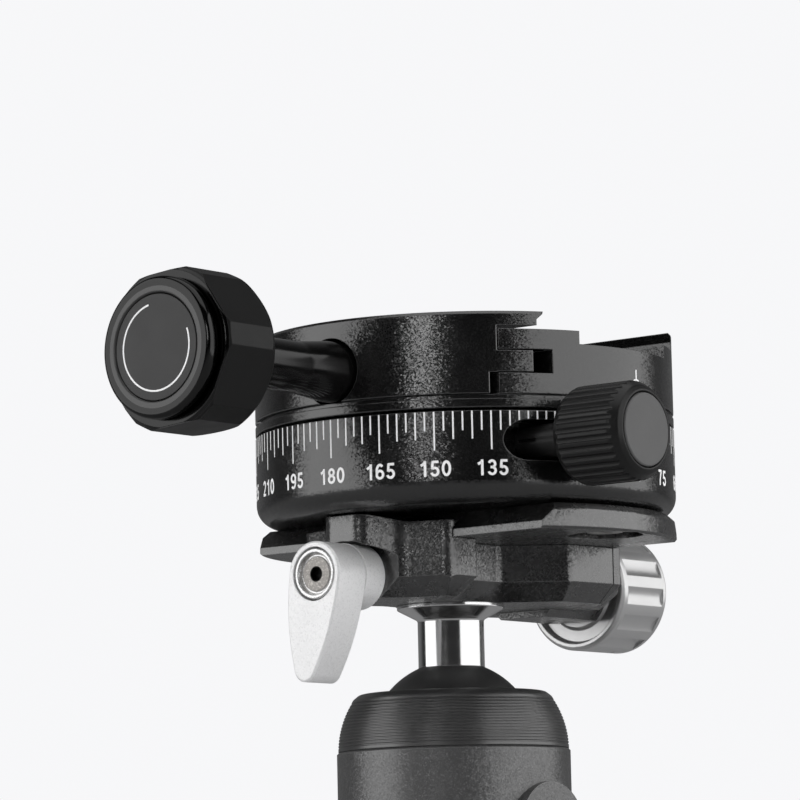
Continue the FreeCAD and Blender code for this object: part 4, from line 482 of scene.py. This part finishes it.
lever_screw = blasted_finish(
    "stainless_screw", colour=grey(0.36, 0.05), grain_tone_and_glint=grey(0.60, 0.05), edge_wear_and_highlight=grey(0.70), roughness=0.45,
    grain=0.20 * MM, tilt=0.25, metallic=1.0)
tree = lever_screw.node_tree
shader = tree.nodes["Principled BSDF"]
along, radius = lathe_place(tree, "Y", "lever_screw")
rim = zone(tree, radius, SCREW_FACE, 0.0, 1.0)
# Painted shade in the key hole: a dark colour from a little way in from the face.
socket = combine(tree, "MULTIPLY", zone(tree, radius, SOCKET_REACH, 1.0, 0.0),
                 zone(tree, along, front_of("lever_screw") + SOCKET_STARTS, 0.0, 1.0))
face_roughness = shader.inputs["Roughness"].links[0].from_socket
tree.links.new(value_where(tree, face_roughness, RIM_ROUGHNESS, rim), shader.inputs["Roughness"])
face_colour = shader.inputs["Base Color"].links[0].from_socket
rim_colour = colour_where(tree, face_colour, RIM_METAL, rim)
tree.links.new(colour_where(tree, rim_colour, SOCKET_PAINTED_SHADE, socket), shader.inputs["Base Color"])
own_finish["lever_screw"] = lever_screw
print("lever screw: face", 2 * SCREW_FACE / MM, "mm across")

# %% [markdown]
# ## Putting the finishes on
#
# The record that came with the frame says which slot each piece takes. Following it, rather than typing a
# second list, means that the two can't drift apart. A piece with a finish of its own takes that instead.

# %% Dress every piece
dressed = 0
for part in frame["record"]["subparts"]:
    node = part["node"]
    skin = own_finish[node] if node in own_finish else finishes[part["material_slot"]]
    mesh = frame["nodes"][node].data
    mesh.materials.clear()
    mesh.materials.append(skin)
    dressed += 1
print("pieces dressed:", dressed)

# %% [markdown]
# ## White marks
#
# The degree marks are cut into the ring and filled with paint. As an image they would blur close up, so
# each mark is a thin closed solid, sunk in the surface and standing a hair above it. Everything painted
# here, lines, digits and arcs, is a pen stroke: a line with a width. So one function that turns a line into
# such a solid serves them all. It works on a flat sheet, and a second function says where a point of the
# sheet lies on the real surface.

# %% A stroke as a solid
PROUD = 0.02 * MM
SUNK = 0.05 * MM
SAME_POINT = 1e-9


def stroke_sides(line, width):
    """Both sides of a stroke, mitred at its corners, and whether the line closes on itself."""
    loop = (line[0] - line[-1]).length < SAME_POINT
    if loop:
        padded = [line[-2]] + line[:-1] + [line[0]]
    else:
        padded = [2 * line[0] - line[1]] + line + [2 * line[-1] - line[-2]]
    left, right = [], []
    for before, point, after in zip(padded, padded[1:], padded[2:]):
        arriving = (point - before).normalized()
        leaving = (after - point).normalized()
        across = Vector((-arriving.y - leaving.y, arriving.x + leaving.x))
        mitre = across / (1 + arriving.dot(leaving)) * width / 2
        left.append(point + mitre)
        right.append(point - mitre)
    return left, right, loop


def paint_stroke(mesh, line, width, place):
    """Adds one closed solid to a mesh: a stroke sunk in a surface and standing a hair above it."""
    left, right, loop = stroke_sides(line, width)
    rails = [[mesh.verts.new(place(point.x, point.y, depth)) for point in side]
             for side, depth in ((left, -SUNK), (right, -SUNK), (right, PROUD), (left, PROUD))]
    count = len(left)
    for rail, other in zip(rails, rails[1:] + rails[:1]):
        for i in range(count if loop else count - 1):
            j = (i + 1) % count
            mesh.faces.new((rail[i], rail[j], other[j], other[i]))
    if not loop:
        mesh.faces.new([rail[0] for rail in rails])
        mesh.faces.new([rail[-1] for rail in reversed(rails)])


print("strokes stand", PROUD / MM, "mm proud")

# %% [markdown]
# ## Lines to stroke, and what becomes of them
#
# A mark needs only two kinds of line: straight ones and parts of an oval. A finished mark then rides on the
# body that it is painted on, so that it moves with that body when the head turns.

# %% Lines and painted pieces
paint = moulded_finish("white_paint", grey(0.95), roughness=0.55, texture=0.3 * MM, depth=0.001 * MM)


def oval(x, y, wide, tall, start=0, end=360, step=15):
    """Points round an oval from one angle to another, in degrees, from the right up over the top."""
    count = round(abs(end - start) / step)
    turns = [math.radians(start + (end - start) * i / count) for i in range(count + 1)]
    return [Vector((x + wide * math.cos(turn), y + tall * math.sin(turn))) for turn in turns]


def straight(*points):
    return [Vector(point) for point in points]


def finish_piece(mesh, name, body):
    """Turns a mesh of strokes into one painted piece on a body."""
    bmesh.ops.recalc_face_normals(mesh, faces=mesh.faces)
    data = bpy.data.meshes.new(name)
    mesh.to_mesh(data)
    mesh.free()
    data.materials.append(paint)
    piece = bpy.data.objects.new(name, data)
    bpy.context.scene.collection.objects.link(piece)
    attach(piece, body)


print("a full oval has", len(oval(0, 0, 1, 1)) - 1, "sides")

# %% [markdown]
# ## Where the ring has a wall
#
# The pocket around the side knob interrupts the scale. A ray fired at the ring from outside tells whether
# there is any wall at a spot to mark, so the marks end where the wall ends without a list of places.

# %% The ring's wall
RAY_START = 1.5                     # in ring radii from the axis
WALL_TOLERANCE = 0.08 * MM


def wall_of(node):
    """The radius and middle of a round wall about Z, and a tree to fire rays at."""
    mesh = frame["nodes"][node].data
    faces = [tuple(face.vertices) for face in mesh.polygons]
    tree = BVHTree.FromPolygons([vertex.co for vertex in mesh.vertices], faces)
    low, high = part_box(node)
    radius = (high.x - low.x) / 2
    return tree, radius, Vector(((low.x + high.x) / 2, (low.y + high.y) / 2, 0))


ring_tree, ring_radius, ring_middle = wall_of("scale_ring")
ring_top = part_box("scale_ring")[1].z


def on_wall(radius, angle, height):
    return Vector((
        ring_middle.x + radius * math.cos(angle), ring_middle.y + radius * math.sin(angle), height))


def around(angle, height):
    """Lays a flat sheet on the wall, with its middle at an angle and a height."""
    def place(x, y, depth):
        return on_wall(ring_radius + depth, angle + x / ring_radius, height + y)
    return place


def has_wall(angle, height):
    start = on_wall(ring_radius * RAY_START, angle, height)
    inward = Vector((-math.cos(angle), -math.sin(angle), 0))
    hit = ring_tree.ray_cast(start, inward)[0]
    if hit is None:
        return False
    return abs((hit - start).length - ring_radius * (RAY_START - 1)) < WALL_TOLERANCE


print("ring radius", round(ring_radius / MM, 2), "mm, top", round(ring_top / MM, 2), "mm")

# %% [markdown]
# ## The degree marks
#
# The ring is divided every 2.5 degrees. Marks at 5 degrees are longer and those at 15 degrees longest, so
# that the eye can count without reading. One loop makes them all, and trims each where the wall ends.

# %% Ticks
TICK_STEP = 2.5
MEDIUM_EVERY = 5
LONG_EVERY = 15
TICK_WIDTH = 0.28 * MM
TICK_MARGIN = 0.15 * MM
TICK_LENGTHS = {"long": 6.5 * MM, "medium": 4.6 * MM, "short": 3.2 * MM}
TRIM_STEP = 0.1 * MM
SHORTEST_TICK = 2 * TRIM_STEP


def tick_kind(degrees):
    if degrees % LONG_EVERY == 0:
        return "long"
    return "medium" if degrees % MEDIUM_EVERY == 0 else "short"


def ring_angle(degrees):
    """Where a number of degrees on the scale lies on the ring: the scale runs clockwise from the back."""
    return math.radians(90 - degrees)


ticks = bmesh.new()
tick_count = 0
tick_top = ring_top - TICK_MARGIN
for step in range(int(360 / TICK_STEP)):
    value = step * TICK_STEP
    angle = ring_angle(value)
    wanted = TICK_LENGTHS[tick_kind(value)]
    length = 0.0
    while length + TRIM_STEP <= wanted and has_wall(angle, tick_top - length - TRIM_STEP):
        length += TRIM_STEP
    if length > SHORTEST_TICK:
        paint_stroke(ticks, straight((0, 0), (0, -length)), TICK_WIDTH, around(angle, tick_top))
        tick_count += 1
finish_piece(ticks, "scale_ticks", "plate")
print("ticks:", tick_count)

# %% [markdown]
# ## The digits
#
# Scales are engraved with a round cutter that follows a plain, even letter. Blender's own font is too thin
# for that and its figure one is a bare bar, so the digits are drawn here as a cutter would run: each is one
# to three strokes, in units of the digit's height. A nine is a six upside down.

# %% Digits
DIGIT_STROKE = 0.165
DIGIT_WIDTH = 0.60
DIGIT_PITCH = 0.72

digits = {
    "0": [oval(0.30, 0.50, 0.215, 0.415)],
    "1": [straight((0.40, 0), (0.40, 1)), straight((0.13, 0.71), (0.26, 0.77), (0.40, 0.90))],
    "2": [oval(0.30, 0.69, 0.205, 0.225, 170, -35) + straight((0.34, 0.36), (0.13, 0.13)),
          straight((0.04, 0.083), (0.56, 0.083))],
    "3": [oval(0.29, 0.715, 0.19, 0.20, 165, -90), oval(0.29, 0.30, 0.215, 0.215, 90, -165),
          straight((0.19, 0.515), (0.32, 0.515))],
    "4": [straight((0.42, 0), (0.42, 1)), straight((0.41, 0.93), (0.07, 0.31)),
          straight((0.02, 0.29), (0.60, 0.29))],
    "5": [straight((0.11, 0.917), (0.54, 0.917)), straight((0.17, 0.95), (0.13, 0.47)),
          oval(0.29, 0.315, 0.215, 0.232, 135, -165)],
    "6": [oval(0.30, 0.315, 0.215, 0.232), oval(0.31, 0.52, 0.225, 0.397, 45, 195)],
    "7": [straight((0.04, 0.917), (0.56, 0.917)),
          straight((0.49, 0.90), (0.36, 0.64), (0.28, 0.34), (0.25, 0))],
    "8": [oval(0.30, 0.72, 0.185, 0.197), oval(0.30, 0.298, 0.215, 0.215)]}
digits["9"] = [[Vector((DIGIT_WIDTH, 1)) - point for point in line] for line in digits["6"]]
print("digits drawn:", len(digits))

# %% [markdown]
# ## The degree numbers
#
# Each number is wrapped round the ring: distance along the line of writing becomes an angle. A number is
# left out where its corners would run into the side knob's pocket, as an engraver would leave it out.

# %% Numbers
NUMBER_HEIGHT = 2.65 * MM
NUMBER_LOW = 10.85 * MM             # below the ring's top
NUMBER_ROOM = 0.4 * MM

numbers = bmesh.new()
number_count = 0
number_base = ring_top - NUMBER_LOW
for value in range(0, 360, LONG_EVERY):
    text = str(value)
    width = ((len(text) - 1) * DIGIT_PITCH + DIGIT_WIDTH) * NUMBER_HEIGHT
    angle = ring_angle(value)
    edges = [angle + side * (width / 2 + NUMBER_ROOM) / ring_radius for side in (-1, 1)]
    if not all(has_wall(edge, number_base + NUMBER_HEIGHT + NUMBER_ROOM) for edge in edges):
        continue
    number_count += 1
    for i, digit in enumerate(text):
        start = Vector((i * DIGIT_PITCH * NUMBER_HEIGHT - width / 2, 0))
        for line in digits[digit]:
            laid = [start + point * NUMBER_HEIGHT for point in line]
            paint_stroke(numbers, laid, DIGIT_STROKE * NUMBER_HEIGHT, around(angle, number_base))
finish_piece(numbers, "scale_numbers", "plate")
print("numbers:", number_count, "height", NUMBER_HEIGHT / MM, "mm")

# %% [markdown]
# ## The index mark
#
# The rotor carries one line to read the scale by, with a small circle on it. It rides on the rotor, so it
# travels round as the head pans.

# %% Index mark
INDEX_ANGLE = math.radians(1.4)
INDEX_RISE = 7.95 * MM              # top of the line, above the ring
INDEX_LENGTH = 4.3 * MM
INDEX_CIRCLE = 1.28 * MM
INDEX_CIRCLE_DROP = 3.0 * MM
INDEX_LINE = 0.34 * MM

index = bmesh.new()
index_place = around(INDEX_ANGLE, ring_top + INDEX_RISE)
paint_stroke(index, straight((0, 0), (0, -INDEX_LENGTH)), INDEX_LINE, index_place)
paint_stroke(index, oval(0, -INDEX_CIRCLE_DROP, INDEX_CIRCLE, INDEX_CIRCLE), INDEX_LINE, index_place)
finish_piece(index, "index_mark", "rotor")
print("index mark at", round(math.degrees(INDEX_ANGLE), 1), "degrees, top",
      round((ring_top + INDEX_RISE) / MM, 2), "mm")

# %% [markdown]
# ## The arc on the top knob
#
# A thin painted arc runs most of the way round the grey disc, and turns with the knob. It is the same pen
# stroke as the marks, laid on a flat face.

# %% Knob arc
ARC_RADIUS = 7.0 * MM
ARC_WIDTH = 0.3 * MM
ARC_FROM, ARC_TO = 102, 380
ARC_STEP = 3

disc_centre = centre_of("top_lock_disc")
face_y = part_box("top_lock_disc")[0].y


def on_disc(x, y, depth):
    return Vector((disc_centre.x + x, face_y - depth, disc_centre.z + y))


arc = bmesh.new()
arc_line = oval(0, 0, ARC_RADIUS, ARC_RADIUS, ARC_FROM, ARC_TO, ARC_STEP)
paint_stroke(arc, arc_line, ARC_WIDTH, on_disc)
finish_piece(arc, "knob_arc", "top_knob")
print("arc from", ARC_FROM, "to", ARC_TO, "degrees")

# %% [markdown]
# ## Camera
#
# A long lens set well back keeps the rings nearly round and the sides nearly parallel. The camera sits low
# and looks slightly up, as from a knee beside the tripod, so the undersides show.

# %% Camera
VIEW_AZIMUTH = math.radians(38.85)
VIEW_ELEVATION = math.radians(-7.49)
VIEW_ROLL = math.radians(-1.25)
VIEW_DISTANCE = 723.64 * MM
VIEW_TARGET = Vector((-4.571, -6.888, 106.65)) * MM
LENS = 188.775                      # millimetres, as the sensor's width is
SENSOR = 36.0
NEAREST_SEEN, FARTHEST_SEEN = 0.01, 50          # metres

back = Vector((
    math.sin(VIEW_AZIMUTH) * math.cos(VIEW_ELEVATION),
    -math.cos(VIEW_AZIMUTH) * math.cos(VIEW_ELEVATION),
    math.sin(VIEW_ELEVATION)))
level_right = Vector((math.cos(VIEW_AZIMUTH), math.sin(VIEW_AZIMUTH), 0))
level_up = back.cross(level_right)
right = math.cos(VIEW_ROLL) * level_right + math.sin(VIEW_ROLL) * level_up
up = math.cos(VIEW_ROLL) * level_up - math.sin(VIEW_ROLL) * level_right
camera_data = bpy.data.cameras.new("camera")
camera_data.lens = LENS
camera_data.sensor_width = SENSOR
camera_data.clip_start = NEAREST_SEEN
camera_data.clip_end = FARTHEST_SEEN
camera = bpy.data.objects.new("camera", camera_data)
bpy.context.scene.collection.objects.link(camera)
turn = Matrix((right, up, back)).transposed().to_4x4()
camera.matrix_world = Matrix.Translation(VIEW_TARGET + back * VIEW_DISTANCE) @ turn
bpy.context.scene.camera = camera
print("camera at", [round(x, 3) for x in camera.location])

# %% [markdown]
# ## Lamps
#
# Black metal shows mostly what it mirrors, so the lamps are the picture. Two tall softboxes stand to the
# left and the right, nearly level with the head, and the space in front stays dark. That gives each round
# wall a bright band on both sides and a black middle. A small lamp stands a little left of the camera and
# above it. It is small enough to make single grains of the blasting glint, and high enough that the
# polished stem doesn't mirror it. A panel above draws the top edges.

# %% Softboxes
LAMP_DISTANCE = 0.62
LAMP_AIM = Vector((0, 0, 0.08))


def softbox(name, side_angle, rise, width, height, brightness):
    """A rectangular lamp, in degrees round from the camera and up, whose surface has a brightness."""
    turned_by = VIEW_AZIMUTH + math.radians(side_angle)
    level = math.cos(math.radians(rise))
    towards = Vector((
        math.sin(turned_by) * level, -math.cos(turned_by) * level, math.sin(math.radians(rise))))
    lamp = bpy.data.lights.new(name, "AREA")
    lamp.shape = "RECTANGLE"
    lamp.size = width
    lamp.size_y = height
    lamp.energy = brightness * math.pi * width * height
    holder = bpy.data.objects.new(name, lamp)
    bpy.context.scene.collection.objects.link(holder)
    holder.location = LAMP_AIM + towards * LAMP_DISTANCE
    holder.rotation_euler = towards.to_track_quat("Z", "Y").to_euler()


softbox("left_softbox", side_angle=-77, rise=8, width=0.56, height=0.9, brightness=1.40)
softbox("right_softbox", side_angle=74, rise=8, width=1.15, height=0.9, brightness=1.25)
softbox("top_softbox", side_angle=20, rise=80, width=0.7, height=0.7, brightness=0.9)
softbox("small_lamp", side_angle=-22, rise=15, width=0.13, height=0.13, brightness=3.4)
print("lamps:", ", ".join(lamp.name for lamp in bpy.data.lights))

# %% [markdown]
# ## Surroundings
#
# The eye should see plain near-white, but a white room all round would wash the black metal out. So the
# world is near-white to the camera. To metal it glows a little only behind the head, where the backdrop
# hangs, and is dim in front, where the studio is dark. For plain diffuse light it is a soft even grey.

# %% World
BACKGROUND = (0.930, 0.932, 0.945, 1)
ROOM_LIGHT = (0.50, 0.50, 0.505, 1)
DARK_STUDIO = 0.020
BRIGHT_BACKDROP = 0.16
BACKDROP_STARTS, BACKDROP_FULL = 0.35, 0.85     # cosines from straight behind the head


def mix_shaders(tree, mask, without, with_mask):
    mix = add_node(tree, "ShaderNodeMixShader")
    tree.links.new(mask, mix.inputs["Fac"])
    tree.links.new(without, mix.inputs[1])
    tree.links.new(with_mask, mix.inputs[2])
    return mix.outputs["Shader"]


world = bpy.data.worlds.new("studio")
bpy.context.scene.world = world
world.use_nodes = True
tree = world.node_tree
tree.nodes.clear()
path = add_node(tree, "ShaderNodeLightPath")
place = add_node(tree, "ShaderNodeTexCoord")
behind = Vector((-back.x, -back.y, 0)).normalized()
facing = add_node(tree, "ShaderNodeVectorMath", {1: behind}, operation="DOT_PRODUCT")
tree.links.new(place.outputs["Generated"], facing.inputs[0])
backdrop = add_node(tree, "ShaderNodeMapRange", {
    "From Min": BACKDROP_STARTS, "From Max": BACKDROP_FULL,
    "To Min": DARK_STUDIO, "To Max": BRIGHT_BACKDROP}, interpolation_type="SMOOTHSTEP")
tree.links.new(facing.outputs["Value"], backdrop.inputs["Value"])
mirrored = add_node(tree, "ShaderNodeBackground", {"Color": BACKGROUND})
tree.links.new(backdrop.outputs["Result"], mirrored.inputs["Strength"])
seen = add_node(tree, "ShaderNodeBackground", {"Color": BACKGROUND, "Strength": 1.0})
room = add_node(tree, "ShaderNodeBackground", {"Color": ROOM_LIGHT, "Strength": 1.0})
glossy = combine(tree, "MAXIMUM", path.outputs["Is Glossy Ray"], path.outputs["Is Transmission Ray"])
lighting = mix_shaders(tree, glossy, room.outputs["Background"], mirrored.outputs["Background"])
surroundings = mix_shaders(tree, path.outputs["Is Camera Ray"], lighting, seen.outputs["Background"])
output = add_node(tree, "ShaderNodeOutputWorld")
tree.links.new(surroundings, output.inputs["Surface"])
bpy.context.scene.view_settings.view_transform = "Standard"
print("backdrop", BRIGHT_BACKDROP, "behind, studio", DARK_STUDIO, "in front")

# %% [markdown]
# ## Floor
#
# The floor is pale and holds the shadow. In what the metal mirrors it is darker, or every black underside
# would turn grey. Away from the head it fades into the backdrop's own white, so no edge of it shows from
# any side.

# %% Floor
FLOOR_REACH = 4.0
FLOOR_GAP = 0.02 * MM
FLOOR_SEEN = (0.90, 0.90, 0.91)
FLOOR_MIRRORED = (0.24, 0.24, 0.242)
FADE_FROM, FADE_TO = 0.07, 0.38                 # metres from the head's axis

floor_mesh = bmesh.new()
bmesh.ops.create_grid(floor_mesh, x_segments=1, y_segments=1, size=FLOOR_REACH)
floor_data = bpy.data.meshes.new("floor")
floor_mesh.to_mesh(floor_data)
floor_mesh.free()
floor_skin = base_finish("pale_floor", FLOOR_SEEN, roughness=0.8)
tree = floor_skin.node_tree
shader = tree.nodes["Principled BSDF"]
path = add_node(tree, "ShaderNodeLightPath")
floor_colour = colour_where(tree, FLOOR_SEEN, FLOOR_MIRRORED, path.outputs["Is Glossy Ray"])
tree.links.new(floor_colour, shader.inputs["Base Color"])
place = add_node(tree, "ShaderNodeTexCoord")
distance = add_node(tree, "ShaderNodeVectorMath", operation="LENGTH")
tree.links.new(place.outputs["Object"], distance.inputs[0])
fade = add_node(tree, "ShaderNodeMapRange", {
    "From Min": FADE_FROM, "From Max": FADE_TO}, interpolation_type="SMOOTHSTEP")
tree.links.new(distance.outputs["Value"], fade.inputs["Value"])
far_white = add_node(tree, "ShaderNodeEmission", {"Color": BACKGROUND, "Strength": 1.0})
faded = combine(tree, "MULTIPLY", fade.outputs["Result"], path.outputs["Is Camera Ray"])
floor_shading = mix_shaders(tree, faded, shader.outputs["BSDF"], far_white.outputs["Emission"])
tree.links.new(floor_shading, tree.nodes["Material Output"].inputs["Surface"])
floor_data.materials.append(floor_skin)
floor = bpy.data.objects.new("floor", floor_data)
floor.location.z = cad_box[0].z - FLOOR_GAP
bpy.context.scene.collection.objects.link(floor)
print("floor at", round(floor.location.z / MM, 2), "mm")
